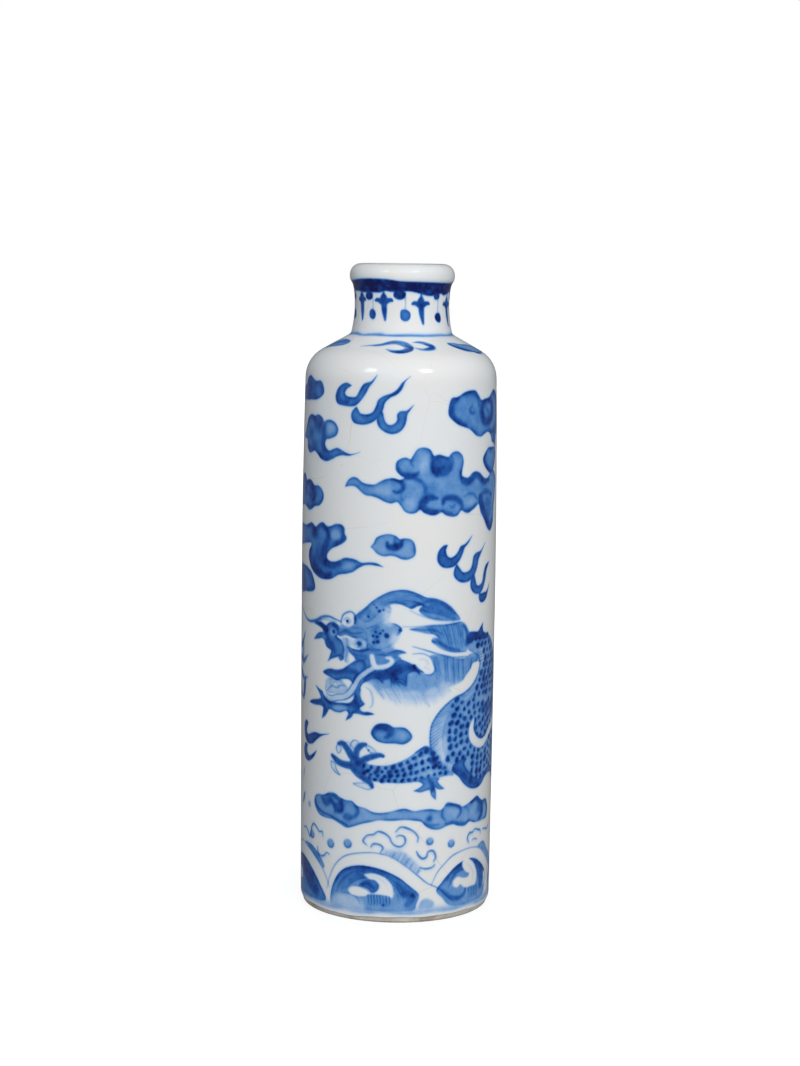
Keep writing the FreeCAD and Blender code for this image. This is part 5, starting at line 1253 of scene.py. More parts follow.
def wisps(b):
    # curls on the shoulder, all round
    b.wash([(-7.8, 72.4), (-8.8, 72.9), (-10.6, 72.9), (-12.4, 72.1), (-14.0, 70.9), (-14.2, 70.3),
        (-12.8, 70.3), (-11.2, 70.9), (-9.6, 71.3), (-8.2, 71.7)], 0.46, 0.24, 0.3)
    b.shade([(-8.6, 72.4), (-10.2, 72.2), (-12.4, 71.2)], [0.1, 0.25, 0.15], 0.4)
    b.stroke([(-5.2, 71.6), (-4.0, 71.85), (-2.8, 72.0), (-1.8, 72.45), (-0.8, 72.7), (0.2, 72.4),
        (0.9, 71.7), (0.7, 71.0), (-0.1, 70.6), (-1.0, 70.7), (-1.7, 71.1)], [0.04, 0.12, 0.22, 0.32, 0.42,
        0.5, 0.56, 0.52, 0.42, 0.3, 0.08], 0.5, 0.14)
    b.shade([(-1.6, 71.9), (-0.6, 71.9), (0.2, 71.5)], [0.05, 0.15, 0.1], 0.3, 0.05)
    b.shade([(0.6, 72.0), (1.1, 71.5), (0.8, 70.9), (-0.1, 70.5), (-1.2, 70.6)], [0.1, 0.3, 0.36, 0.36,
        0.1], 0.6, 0.1)
    b.shade([(-3.4, 71.9), (-2.4, 72.2), (-1.2, 72.7), (0.0, 72.6)], [0.05, 0.12, 0.14, 0.05], 0.45, 0.05)
    b.stroke([(1.4, 72.7), (2.2, 72.75), (3.1, 72.5), (3.8, 71.9), (3.7, 71.4), (3.0, 71.1), (2.2, 71.15),
        (1.6, 71.5)], [0.05, 0.22, 0.34, 0.44, 0.42, 0.34, 0.24, 0.06], 0.46, 0.14)
    b.shade([(3.0, 72.3), (3.8, 71.9), (3.6, 71.4), (2.8, 71.2)], [0.08, 0.3, 0.3, 0.1], 0.55, 0.1)
    b.shade([(1.8, 72.8), (2.8, 72.8), (3.5, 72.3)], [0.05, 0.1, 0.08], 0.4, 0.05)
    b.wash([(6.6, 72.3), (7.6, 72.5), (9.2, 72.1), (10.8, 71.9), (12.4, 71.2), (12.8, 70.4), (11.4, 69.8),
        (10.3, 69.8), (9.4, 70.3), (8.4, 70.5), (7.4, 71.2)], 0.42, 0.3, 0.25)
    b.shade([(7.0, 72.0), (8.2, 71.3), (9.4, 70.6)], [0.12, 0.3, 0.15], 0.4)
    b.shade([(6.8, 72.3), (7.4, 71.6), (8.4, 70.9), (10.0, 70.1), (11.6, 70.0)], [0.12, 0.2, 0.24, 0.2,
        0.1], 0.5, 0.08)


# Round the back: the coil runs on to the tail between clouds, over the same sea.
tail = {  # the body behind, in mm along it
    "path": [
        (17.4, 19.8), (20.5, 18.9), (24.0, 20.2), (27.0, 23.8), (28.8, 28.0), (31.6, 31.0), (35.4, 31.6),
        (38.6, 29.4), (41.2, 26.2), (44.6, 24.4), (48.4, 25.0), (52.0, 27.6), (55.0, 29.6), (57.4, 30.2),
    ],
    "halfWidths": [3.1, 3.0, 2.9, 2.7, 2.5, 2.2, 2.0, 1.8, 1.5, 1.2, 0.9, 0.5],
    "finSide": -1,
    "station": 1.6,
    "plateGap": 0.72,
    "scaleGap": 1.05,
    "scaleRow": 0.78,
    "finGap": 1.9,
    "fork": (55.4, 30.2),  # where the flames of the tail spring from
    "flames": [
        ((56.0, 32.4), (57.4, 34.0), (57.2, 35.6)),
        ((57.6, 32.2), (59.4, 33.2), (60.6, 34.8)),
        ((58.2, 31.2), (60.0, 31.0), (61.6, 32.0)),
        ((58.2, 29.8), (60.0, 28.8), (61.6, 29.2)),
        ((57.4, 28.6), (58.8, 26.8), (60.4, 26.2)),
        ((56.0, 28.0), (56.8, 26.0), (58.2, 24.8)),
    ],
}


def bodyRun(b, t):
    # a scaled body along a path, with belly plates on one side and fins on the other
    finSide, halfWidths = t["finSide"], t["halfWidths"]
    curve = softCurve(t["path"])
    gaps = np.concatenate([[0], np.cumsum(np.hypot(*np.diff(curve, axis=0).T))])
    heading = np.gradient(curve, axis=0)
    heading /= np.hypot(*heading.T)[:, None]
    knots = np.linspace(0, gaps[-1], len(halfWidths))

    def spot(place, across):
        x, y = (np.interp(place, gaps, curve[:, k]) for k in (0, 1))
        hx, hy = (np.interp(place, gaps, heading[:, k]) for k in (0, 1))
        half = np.interp(place, knots, halfWidths)
        return x - hy * half * across, y + hx * half * across

    stations = np.arange(0, gaps[-1], t["station"])
    edges = [[spot(place, side) for place in stations] for side in (1, -1)]
    b.wash(edges[0] + edges[1][::-1], 0.36, 0.22, 0.3)
    inner = [spot(place, -finSide * 0.5) for place in stations]
    outer = [spot(place, -finSide * 0.98) for place in stations]
    b.lift(inner + outer[::-1], 0.45, 0.2)
    plates(b, outer, inner, round(gaps[-1] / t["plateGap"]), 0.34)
    b.stroke(outer, 0.1, 0.45, 0.12)
    b.stroke(inner, 0.06, 0.35, 0.14)
    place, row = 0.5, 0
    while place < gaps[-1] - 1.0:
        half = np.interp(place, knots, halfWidths)
        count = max(1, round(half * 1.5 / t["scaleGap"]))
        for k in range(count):
            across = finSide * (0.88 - (k + (0.5 if row % 2 else 0.1)) * 1.34 / count)
            x, y = spot(place + chance.uniform(-0.12, 0.12), across)
            scale(b, x, y, scales["tailRadius"] * min(1, half / 1.6))
        place, row = place + t["scaleRow"], row + 1
    for place in np.arange(0.8, gaps[-1] - 1.5, t["finGap"]):
        tall = 1 + 1.0 / max(0.5, np.interp(place, knots, halfWidths))
        root, end = spot(place, finSide * 0.95), spot(place + 1.5, finSide * 0.95)
        front, back = spot(place + 0.6, finSide * (0.4 + tall * 0.6)), spot(place + 1.4, finSide * 1.2)
        tip = spot(place + t["finGap"], finSide * tall)
        b.wash([root, front, tip, tip, back, end], 0.7, 0.2, 0.2)


def dragonBack(b):
    bodyRun(b, tail)
    for bend, tip, curl in tail["flames"]:
        b.stroke([tail["fork"], bend, tip, curl], [0.45, 0.55, 0.42, 0.04], 0.56, 0.13, "level")
        b.shade([(55.8, 30.2), bend, tip], [0.1, 0.22, 0.05], 0.4, 0.1)
    b.pool(56.0, 30.2, 0.9, 0.5)


def leg(brush):
    foreleg(brush)
    paw(brush)


def backHalf():
    # the front's motifs, moved and turned over so that they don't read as copies
    dragonBack(Brush())
    leg(Brush(dx=31.6, dy=-2.2, flip=-1))
    leg(Brush(dx=44.2, dy=14.0, flip=-1, size=0.92))
    bigCloud(Brush(dx=42.2, dy=1.0, flip=-1))
    leftHighCloud(Brush(dx=14.0, dy=1.0, flip=-1))
    rightHighCloud(Brush(dx=64.0, dy=0.5, flip=-1))
    highFlames(Brush(dx=42.0, dy=1.0))
    leftTailCloud(Brush(dx=24.0, dy=-0.5, flip=-1))
    lowFlames(Brush(dx=42.0))
    smallCloud(Brush(dx=21.5, dy=-7.0))
    twinCloud(Brush(dx=50.0, dy=12.5, flip=-1))
    longCloud(Brush(dx=39.0, dy=0.2, flip=-1))
    smallCloud(Brush(dx=54.6, dy=-32.4))
    hookedFlames(Brush(dx=63.0, dy=-1.4))
    swellTwo(Brush(dx=24.6))
    swellOne(Brush(dx=48.8, size=0.92))
    swellOne(Brush(dx=24.6))
    foam(Brush(dx=37.7), foamLines)
    drops = [(-8.7, 9.2, 0.6), (-3.1, 9.3, 0.62), (4.3, 10.2, 0.52), (7.3, 9.4, 0.55), (-13.2, 8.0, 0.5)]
    spray(Brush(dx=37.7), drops)


# The whole picture, laid out from the front and carried on round the back.
front = Brush()
for motif in (
    leftHighLobe, leftHighCloud, rightHighCloud, bigCloud, leftLobe, leftTailCloud, leftLowLobe, smallCloud,
    twinCloud, longCloud, highFlames, lowFlames, hookedFlames, edgeMarks, dragonFront,
):
    motif(front)
backHalf()
seaFront(front)
footBand(front)
wisps(Brush(sheet["shoulderRing"]))
wisps(Brush(sheet["shoulderRing"], dx=26.2, dy=3.6, flip=-1, size=0.95))
neckBrush = Brush(sheet["neckRing"])
neckPendants(neckBrush)
neckPendants(Brush(sheet["neckRing"], dx=18.5))
neckBand(neckBrush)
neckLine(neckBrush)


def bled(tones, reach):
    # the glaze carries the cobalt a little past the brush's edge
    far = math.ceil(3 * reach)
    places = np.arange(-far, far + 1)
    kernel = np.exp(-0.5 * (places / reach) ** 2)
    kernel /= kernel.sum()
    padded = np.pad(tones, ((0, 0), (far, far)), "wrap")
    across = sum(k * padded[:, far + p : far + p + tones.shape[1]] for k, p in zip(kernel, places))
    padded = np.pad(across, ((far, far), (0, 0)), "edge")
    return sum(k * padded[far + p : far + p + tones.shape[0]] for k, p in zip(kernel, places))


firing = {
    "laid": (0.0, 0.2, 0.38, 0.49, 0.6, 0.68, 0.77, 0.86, 1.0),  # tone as painted
    "fired": (0.0, 0.2, 0.38, 0.48, 0.64, 0.74, 0.85, 0.92, 1.0),  # and as it comes out of the kiln
    "bleed": 0.8,  # rows of the sheet
    "haloReach": 3.2,
    "halo": 0.5,  # strength of the blue that has spread this far
}
paint = bled(np.interp(paint, firing["laid"], firing["fired"]).astype(np.float32), firing["bleed"])
paint = np.clip(paint + firing["halo"] * np.maximum(bled(paint, firing["haloReach"]) - paint, 0), 0, 1)
print(f"painting: {100 * float((paint > 0.1).mean()):.1f}% of the sheet is covered")


# The skin: the painted sheet as faces that are small where the paint changes, wrapped on the outline.
def neighbours(split):
    # a block's neighbours have to be there before it may divide again
    grown = split | np.roll(split, 1, 1) | np.roll(split, -1, 1)
    grown[1:] |= split[:-1]
    grown[:-1] |= split[1:]
    return grown


def closedTree(split):
    # divides the larger blocks round each divided one, so that neighbours differ by one step
    size = 4
    while size <= sheet["coarse"]:
        small = neighbours(split[size // 2])
        rows, columns = small.shape
        split[size] |= small.reshape(rows // 2, 2, columns // 2, 2).any(axis=(1, 3))
        size *= 2
    return split


def paintedTree(tones):
    # divides the blocks whose corners can't give their paint or their bend
    around = np.concatenate([tones, tones[:, :1]], 1)
    bend = np.unwrap(np.arctan2(np.gradient(rowHeight), np.gradient(rowRadius)))
    rows, columns = sheet["rows"], sheet["columns"]
    split, size = {}, 2
    while size <= sheet["coarse"]:
        corner = around[::size, ::size]
        a, b, c, d = corner[:-1, :-1], corner[:-1, 1:], corner[1:, :-1], corner[1:, 1:]
        error = np.zeros(a.shape, np.float32)
        for j in range(size + 1):
            for i in range(size + 1):
                u, v = i / size, j / size
                guess = (a * (1 - u) + b * u) * (1 - v) + (c * (1 - u) + d * u) * v
                found = around[j : j + rows - size + 1 : size, i : i + columns - size + 1 : size]
                np.maximum(error, np.abs(found - guess), out=error)
        turned = np.abs(np.diff(bend[::size])) > math.radians(sheet["turn"])
        split[size] = (error > sheet["tolerance"]) | turned[:, None]
        size *= 2
    return closedTree(split)


def borderTree(split):
    # a coarse tree for the skin's back that divides only along the sectors' edges
    kept = {}
    for size, marks in split.items():
        border = np.zeros_like(marks)
        border[[0, -1]] = True
        step = sheet["columns"] // sheet["sectors"] // size
        border[:, ::step] = True
        border[:, step - 1 :: step] = True
        kept[size] = marks & border
    return closedTree(kept)


def treeFaces(split, tones):
    # the triangles of a tree, each a row of three places on the sheet
    wide = sheet["columns"] + 1
    around = np.concatenate([tones, tones[:, :1]], 1).ravel()
    there = np.ones((sheet["rows"] // sheet["coarse"], sheet["columns"] // sheet["coarse"]), bool)
    size, found = sheet["coarse"], []
    while size >= 1:
        marks = split.get(size, np.zeros_like(there))
        leaf = there & ~marks
        down = np.concatenate([np.zeros_like(marks[:1]), marks[:-1]])
        up = np.concatenate([marks[1:], np.zeros_like(marks[:1])])
        sides = [down, np.roll(marks, -1, 1), up, np.roll(marks, 1, 1)]
        for pattern in range(16):
            wanted = [side if pattern >> k & 1 else ~side for k, side in enumerate(sides)]
            j, i = np.nonzero(leaf & wanted[0] & wanted[1] & wanted[2] & wanted[3])
            if not len(j):
                continue
            base = j * size * wide + i * size
            corners = [base, base + size, base + size * wide + size, base + size * wide]
            if pattern:
                middle = base + size // 2 * wide + size // 2
                ring = []
                for k in range(4):
                    ring.append(corners[k])
                    if pattern >> k & 1:
                        ring.append((corners[k] + corners[(k + 1) % 4]) // 2)
                for one, other in zip(ring, ring[1:] + ring[:1]):
                    found.append(np.stack([middle, one, other], 1))
            else:
                a, b, c, d = corners
                straight = np.abs(around[a] - around[c]) <= np.abs(around[b] - around[d])
                found.append(np.stack([a, b, np.where(straight, c, d)], 1))
                found.append(np.stack([np.where(straight, a, b), c, d], 1))
        there = np.repeat(np.repeat(there & marks, 2, 0), 2, 1)
        size //= 2
    return np.concatenate(found)


glazeEdge = {  # how the coat ends above the foot, in mm
    "waves": [(0.07, 3, 0.6), (0.05, 7, 2.1), (0.03, 17, 0.0)],  # height, count round the foot, start
    "waved": 0.9,  # how far up the waves reach
    "thinned": 0.35,  # where the coat grows thin
    "thinShare": 0.7,
}


def unevenEdge(turn):
    # the glaze line runs a little up and down
    return sum(tall * np.sin(count * turn + start) for tall, count, start in glazeEdge["waves"])


def onBottle(keys, deep):
    # places and outward directions of the sheet's points on the bottle, in metres
    wide = sheet["columns"] + 1
    rows, turn = keys // wide, (keys % wide - halfRound) * columnTurn
    alongRadius, alongHeight = np.gradient(rowRadius), np.gradient(rowHeight)
    length = np.hypot(alongRadius, alongHeight)
    out, rise = (alongHeight / length)[rows], (-alongRadius / length)[rows]
    edge = bottle["glazeLine"]
    low = 1 - smoothStep(rowPlace[rows], edge, edge + glazeEdge["waved"])
    thin = 1 - smoothStep(rowPlace[rows], edge, edge + glazeEdge["thinned"])
    inward = deep + (bottle["coat"] * glazeEdge["thinShare"] - deep * glazeEdge["thinShare"]) * thin
    radius = rowRadius[rows] - out * inward
    height = rowHeight[rows] - rise * inward + unevenEdge(turn) * low
    sine, cosine = np.sin(turn), -np.cos(turn)
    places = np.stack([radius * sine, radius * cosine, height], 1) * mm
    return places, np.stack([out * sine, out * cosine, rise], 1)


strips = {  # the skin's flat layout: two strips side by side for the front, and the back in a third
    "margin": 0.01,
    "tall": 0.98,
    "wide": 0.45,
    "second": 0.47,  # how far the upper half moves across
    "back": 0.95,
    "backWide": 0.04,
    "rim": 0.995,
}


def bakeSpot(keys, first, back):
    # where a point of the sheet lies in the flat layout
    wide = sheet["columns"] + 1
    across = (keys % wide - first) / (sheet["columns"] // sheet["sectors"])
    up = keys // wide / sheet["rows"]
    margin, tall = strips["margin"], strips["tall"]
    if back:
        return np.stack([strips["back"] + strips["backWide"] * across, margin + tall * up], 1)
    return np.stack([margin + strips["wide"] * across, margin + 2 * tall * up], 1)


def skinSector(number, faces, backFaces, tones):
    # one sector of the skin: its painted front, its plain back and the walls that close its four sides
    wide = sheet["columns"] + 1
    step = sheet["columns"] // sheet["sectors"]
    first, last = number * step, (number + 1) * step
    parts, spots, normals, values, places, count = [], [], [], [], [], 0
    edges = {}
    for back, triangles in enumerate((faces, backFaces)):
        columns = triangles % wide
        mine = triangles[(columns.min(1) >= first) & (columns.max(1) <= last)]
        keys, index = np.unique(mine, return_inverse=True)
        index = index.reshape(mine.shape)
        where, out = onBottle(keys, bottle["coat"] if back else 0.0)
        spot = bakeSpot(keys, first, back)[index]
        if back:
            index, spot, out = index[:, ::-1], spot[:, ::-1], -out
            values.append(np.zeros(len(keys)))
        else:
            upper = (mine // wide).min(1) >= sheet["rows"] // 2
            spot[upper] += (strips["second"], -strips["tall"])
            values.append(tones[keys // wide, keys % wide % sheet["columns"]])
        parts.append(index + count)
        normals.append(out[index])
        spots.append(spot)
        places.append(where)
        edges[back] = dict(zip(keys.tolist(), range(count, count + len(keys))))
        count += len(keys)
    rim = [k for k in edges[0] if k // wide in (0, sheet["rows"]) or k % wide in (first, last)]
    bottom = sorted(k for k in rim if k // wide == 0)
    right = sorted(k for k in rim if k % wide == last)
    top = sorted((k for k in rim if k // wide == sheet["rows"]), reverse=True)
    left = sorted((k for k in rim if k % wide == first), reverse=True)
    where = np.concatenate(places)
    walls = []
    for side in (bottom, right, top, left):
        for one, other in zip(side[:-1], side[1:]):
            a, b = edges[0][one], edges[0][other]
            c, d = edges[1][other], edges[1][one]
            walls += [(a, d, c), (a, c, b)]
    walls = np.array(walls)
    corner = where[walls]
    flat = np.cross(corner[:, 1] - corner[:, 0], corner[:, 2] - corner[:, 0])
    flat /= np.linalg.norm(flat, axis=1)[:, None] + 1e-12
    parts.append(walls)
    normals.append(np.repeat(flat[:, None], 3, 1))
    spots.append(np.full((len(walls), 3, 2), strips["rim"]))
    triangles = np.concatenate(parts)
    mesh = bpy.data.meshes.new(f"glazeSkin{number}")
    mesh.vertices.add(len(where))
    mesh.vertices.foreach_set("co", where.astype(np.float32).ravel())
    mesh.loops.add(triangles.size)
    mesh.loops.foreach_set("vertex_index", triangles.astype(np.int32).ravel())
    mesh.polygons.add(len(triangles))
    mesh.polygons.foreach_set("loop_start", np.arange(0, triangles.size, 3, dtype=np.int32))
    mesh.polygons.foreach_set("use_smooth", np.ones(len(triangles), bool))
    mesh.update(calc_edges=True)
    cobalt = mesh.attributes.new("cobalt", "FLOAT", "POINT")
    cobalt.data.foreach_set("value", np.concatenate(values + [[]]).astype(np.float32))
    layout = mesh.uv_layers.new(name="OFBake")
    layout.data.foreach_set("uv", np.concatenate(spots).astype(np.float32).ravel())
    mesh.validate()
    mesh.normals_split_custom_set(np.concatenate(normals).reshape(-1, 3).astype(np.float32))
    piece = bpy.data.objects.new(f"painted_glaze_{number + 1}", mesh)
    bpy.context.collection.objects.link(piece)
    return piece


# Materials.
def linearColour(code):
    # an sRGB hex code as the linear colour that a shader takes
    parts = [int(code[k : k + 2], 16) / 255 for k in (1, 3, 5)]
    return tuple(c / 12.92 if c <= 0.04045 else ((c + 0.055) / 1.055) ** 2.4 for c in parts) + (1.0,)


def perMm(size):
    # the scale that makes a texture's cells about size millimetres wide
    return 1 / (size * mm)


def addNode(tree, kind, feeds=(), **settings):
    # adds a node with its settings; a socket, given in order or by name, is fed by a value,
    # by another node's first output or by one of its outputs
    node = tree.nodes.new(kind)
    for name, value in settings.items():
        setattr(node, name, value)
    for socket, source in feeds.items() if isinstance(feeds, dict) else enumerate(feeds):
        if isinstance(source, bpy.types.Node):
            source = source.outputs[0]
        if isinstance(source, bpy.types.NodeSocket):
            tree.links.new(source, node.inputs[socket])
        else:
            node.inputs[socket].default_value = source
    return node


def newMaterial(name):
    material = bpy.data.materials.new(name)
    material.use_nodes = True
    material.node_tree.nodes.clear()
    return material, material.node_tree


def rampStops(node, stops):
    # sets a colour ramp's stops from (place, colour) pairs
    ramp = node.color_ramp
    while len(ramp.elements) > 1:
        ramp.elements.remove(ramp.elements[-1])
    ramp.elements[0].position, ramp.elements[0].color = stops[0][0], linearColour(stops[0][1])
    for place, code in stops[1:]:
        ramp.elements.new(place).color = linearColour(code)


glazeLook = {  # sizes in millimetres; a pair is the range that a value is carried to
    "stops": [  # cobalt under glaze, from none to where it is heaped
        (0.0, "#E7E9E9"),
        (0.08, "#D8E1EA"),
        (0.2, "#B5CCE7"),
        (0.35, "#79A4D6"),
        (0.5, "#4E86C6"),
        (0.62, "#336FB9"),
        (0.75, "#2058A5"),
        (0.87, "#133F8E"),
        (1.0, "#081557"),
    ],
    "warmWhite": "#EAE6DF",
    "warmth": (0.0, 0.55),
    "coolWhite": "#DCE5EA",
    "coolness": (0.0, 0.5),
    "cloudSize": 14.0,
    "mottleSize": 1.1,
    "mottle": (0.85, 1.1),  # how the blue's tone wavers
    "heapSize": 0.3,
    "heap": (0.0, 0.06),  # how much darker the heaped oxide is
    "crazing": "#C9B6A8",
    "crazeSize": 8.5,
    "crazeWidth": 0.05,
    "crazeProbe": 0.4,
    "crazeShift": (0.021, 0.005, 0.0),  # metres, places the cracks
    "crazeDrift": 4.0,  # size of the lumps that bend the cracks
    "crazeBend": 1.2,
    "stainSize": 9.0,
    "stain": (0.04, 0.32),
    "speck": "#5A4A44",
    "speckSpacing": 3.2,
    "speckSize": 0.07,
    "waveSize": 5.0,
    "waveHeight": 0.02,
    "coatRoughness": 0.1,
    "roughness": 0.34,
}


def crackLines(tree, where, look):
    # hairlines between large uneven cells
    moved = addNode(tree, "ShaderNodeVectorMath", [where, look["crazeShift"]], operation="ADD")
    lumps = {"Vector": where, "Scale": perMm(look["crazeDrift"])}
    drift = addNode(tree, "ShaderNodeTexNoise", lumps).outputs["Color"]
    bend = {0: drift, "Scale": look["crazeBend"] * mm}
    offset = addNode(tree, "ShaderNodeVectorMath", bend, operation="SCALE")
    bent = addNode(tree, "ShaderNodeVectorMath", [moved, offset], operation="ADD")
    # a crack's wall that lies flat under the surface is found a step in and a step out, and stays narrow
    outward = addNode(tree, "ShaderNodeNewGeometry").outputs["Normal"]
    gaps = []
    for reach in (0.0, look["crazeProbe"], -look["crazeProbe"]):
        step = addNode(tree, "ShaderNodeVectorMath", {0: outward, "Scale": reach * mm}, operation="SCALE")
        place = addNode(tree, "ShaderNodeVectorMath", [bent, step], operation="ADD")
        cells = {"Vector": place, "Scale": perMm(look["crazeSize"])}
        gaps.append(addNode(tree, "ShaderNodeTexVoronoi", cells, feature="DISTANCE_TO_EDGE"))
    farther = addNode(tree, "ShaderNodeMath", gaps[1:], operation="MAXIMUM")
    gained = addNode(tree, "ShaderNodeMath", [farther, gaps[0]], operation="SUBTRACT")
    steep = look["crazeSize"] / look["crazeProbe"]
    flatness = addNode(tree, "ShaderNodeMath", [gained, steep], operation="MULTIPLY")
    squared = addNode(tree, "ShaderNodeMath", [flatness, flatness], operation="MULTIPLY")
    width = addNode(tree, "ShaderNodeMapRange", [squared, 0.0, 1.0, 1.0, 0.1])
    evened = addNode(tree, "ShaderNodeMath", [gaps[0], width], operation="DIVIDE")
    narrow = look["crazeWidth"] / look["crazeSize"]
    return addNode(tree, "ShaderNodeMapRange", [evened, narrow * 0.4, narrow * 1.8, 1.0, 0.0])


def paintedGlaze(look):
    # Clear feldspathic glaze over cobalt brushed on raw porcelain: the blue lies deep under a wet gloss,
    # mottled where the oxide heaped, on a white that is faintly cloudy, finely crazed and specked.
    material, tree = newMaterial("cobalt under clear glaze")
    where = addNode(tree, "ShaderNodeTexCoord").outputs["Object"]
    cobalt = addNode(tree, "ShaderNodeAttribute", attribute_name="cobalt").outputs["Fac"]
    lumps = {"Vector": where, "Scale": perMm(look["mottleSize"]), "Detail": 4.0, "Roughness": 0.62}
    mottle = addNode(tree, "ShaderNodeTexNoise", lumps)
    mottle = addNode(tree, "ShaderNodeMapRange", [mottle, 0.3, 0.7, *look["mottle"]])
    tone = addNode(tree, "ShaderNodeMath", [cobalt, mottle], operation="MULTIPLY")
    grains = {"Vector": where, "Scale": perMm(look["heapSize"]), "Detail": 1.0}
    heaps = addNode(tree, "ShaderNodeTexNoise", grains)
    heaps = addNode(tree, "ShaderNodeMapRange", [heaps, 0.62, 0.74, *look["heap"]])
    thick = addNode(tree, "ShaderNodeMapRange", [cobalt, 0.4, 0.7, 0.0, 1.0])
    heaps = addNode(tree, "ShaderNodeMath", [heaps, thick], operation="MULTIPLY")
    tone = addNode(tree, "ShaderNodeMath", [tone, heaps], operation="ADD")
    colour = addNode(tree, "ShaderNodeValToRGB", [tone])
    rampStops(colour, look["stops"])
    # a white that is warmer here and cooler there
    bare = addNode(tree, "ShaderNodeMapRange", [cobalt, 0.0, 0.25, 1.0, 0.0])
    clouds = {"Vector": where, "Scale": perMm(look["cloudSize"]), "Detail": 3.0}
    cloud = addNode(tree, "ShaderNodeTexNoise", clouds)
    for white, reach, strength in (("warmWhite", 0.72, "warmth"), ("coolWhite", 0.3, "coolness")):
        share = addNode(tree, "ShaderNodeMapRange", [cloud, 0.5, reach, *look[strength]])
        share = addNode(tree, "ShaderNodeMath", [share, bare], operation="MULTIPLY")
        laid = {0: share, 6: colour, 7: linearColour(look[white])}
        colour = addNode(tree, "ShaderNodeMix", laid, data_type="RGBA").outputs[2]
    # crazing, stained only in places
    line = crackLines(tree, where, look)
    stained = addNode(tree, "ShaderNodeTexNoise", {"Vector": where, "Scale": perMm(look["stainSize"])})
    stained = addNode(tree, "ShaderNodeMapRange", [stained, 0.5, 0.66, *look["stain"]])
    shown = addNode(tree, "ShaderNodeMapRange", [cobalt, 0.1, 0.5, 1.0, 0.15])
    stained = addNode(tree, "ShaderNodeMath", [stained, shown], operation="MULTIPLY")
    share = addNode(tree, "ShaderNodeMath", [line, stained], operation="MULTIPLY")
    laid = {0: share, 6: colour, 7: linearColour(look["crazing"])}
    colour = addNode(tree, "ShaderNodeMix", laid, data_type="RGBA").outputs[2]
    # a few specks of iron
    dots = addNode(tree, "ShaderNodeTexVoronoi", {"Vector": where, "Scale": perMm(look["speckSpacing"])})
    small = look["speckSize"] / look["speckSpacing"]
    spot = addNode(tree, "ShaderNodeMapRange", [dots, small * 0.6, small * 1.3, 1.0, 0.0])
    lot = addNode(tree, "ShaderNodeSeparateColor", [dots.outputs["Color"]])
    rare = addNode(tree, "ShaderNodeMapRange", [lot, 0.72, 0.78, 0.0, 0.8])
    share = addNode(tree, "ShaderNodeMath", [spot, rare], operation="MULTIPLY")
    laid = {0: share, 6: colour, 7: linearColour(look["speck"])}
    colour = addNode(tree, "ShaderNodeMix", laid, data_type="RGBA").outputs[2]
    swell = addNode(tree, "ShaderNodeTexNoise", {"Vector": where, "Scale": perMm(look["waveSize"])})
    waves = {"Height": swell, "Strength": 0.6, "Distance": look["waveHeight"] * mm}
    wave = addNode(tree, "ShaderNodeBump", waves)
    finish = {
        "Base Color": colour,
        "Roughness": look["roughness"],
        "Specular IOR Level": 0.0,
        "Normal": wave,
        "Coat Weight": 1.0,
        "Coat Roughness": look["coatRoughness"],
        "Coat Normal": wave,
    }
    shader = addNode(tree, "ShaderNodeBsdfPrincipled", finish)
    addNode(tree, "ShaderNodeOutputMaterial", {"Surface": shader})
    return material


bodyLook = {
    "light": "#DDD8CE",
    "dark": "#BFB7AA",
    "cloudSize": 5.0,
    "grainSize": 0.25,
    "grainHeight": 0.03,
    "roughness": (0.55, 0.75),
    "ior": 1.5,
}


def firedBody(look):
    # Fired porcelain body without glaze: matt and dense, with faint tonal clouds and a fine sugary grain.
    material, tree = newMaterial("fired porcelain body")
    where = addNode(tree, "ShaderNodeTexCoord").outputs["Object"]
    clouds = {"Vector": where, "Scale": perMm(look["cloudSize"]), "Detail": 4.0}
    cloud = addNode(tree, "ShaderNodeTexNoise", clouds)
    grains = {"Vector": where, "Scale": perMm(look["grainSize"]), "Detail": 3.0, "Roughness": 0.6}
    grain = addNode(tree, "ShaderNodeTexNoise", grains)
    broad = addNode(tree, "ShaderNodeMath", [cloud, 0.7], operation="MULTIPLY")
    fine = addNode(tree, "ShaderNodeMath", [grain, 0.3], operation="MULTIPLY")
    tone = addNode(tree, "ShaderNodeMath", [broad, fine], operation="ADD")
    colour = addNode(tree, "ShaderNodeValToRGB", [tone])
    rampStops(colour, [(0.35, look["dark"]), (0.62, look["light"])])
    relief = {"Height": grain, "Strength": 0.5, "Distance": look["grainHeight"] * mm}
    finish = {
        "Base Color": colour,
        "Roughness": addNode(tree, "ShaderNodeMapRange", [grain, 0.3, 0.7, *look["roughness"]]),
        "IOR": look["ior"],
        "Normal": addNode(tree, "ShaderNodeBump", relief),
    }
    shader = addNode(tree, "ShaderNodeBsdfPrincipled", finish)
    addNode(tree, "ShaderNodeOutputMaterial", {"Surface": shader})
    return material


footLook = {
    "clay": "#C2BBB0",
    "pale": "#D2CCC1",
    "burnt": "#A89B8B",
    "patchSize": 3.0,
    "grime": "#6A655D",
    "gritSize": 0.2,
    "contactShade": "#4A4742",
    "contactDark": 0.3,  # height of the painted contact shade at the standing edge
    "toolPitch": 0.18,  # between the marks of the turning tool
    "toolDepth": 0.03,
    "bandShare": 0.314,  # a wave texture's scale for bands one unit apart
    "roughness": (0.6, 0.85),
    "ior": 1.45,
}


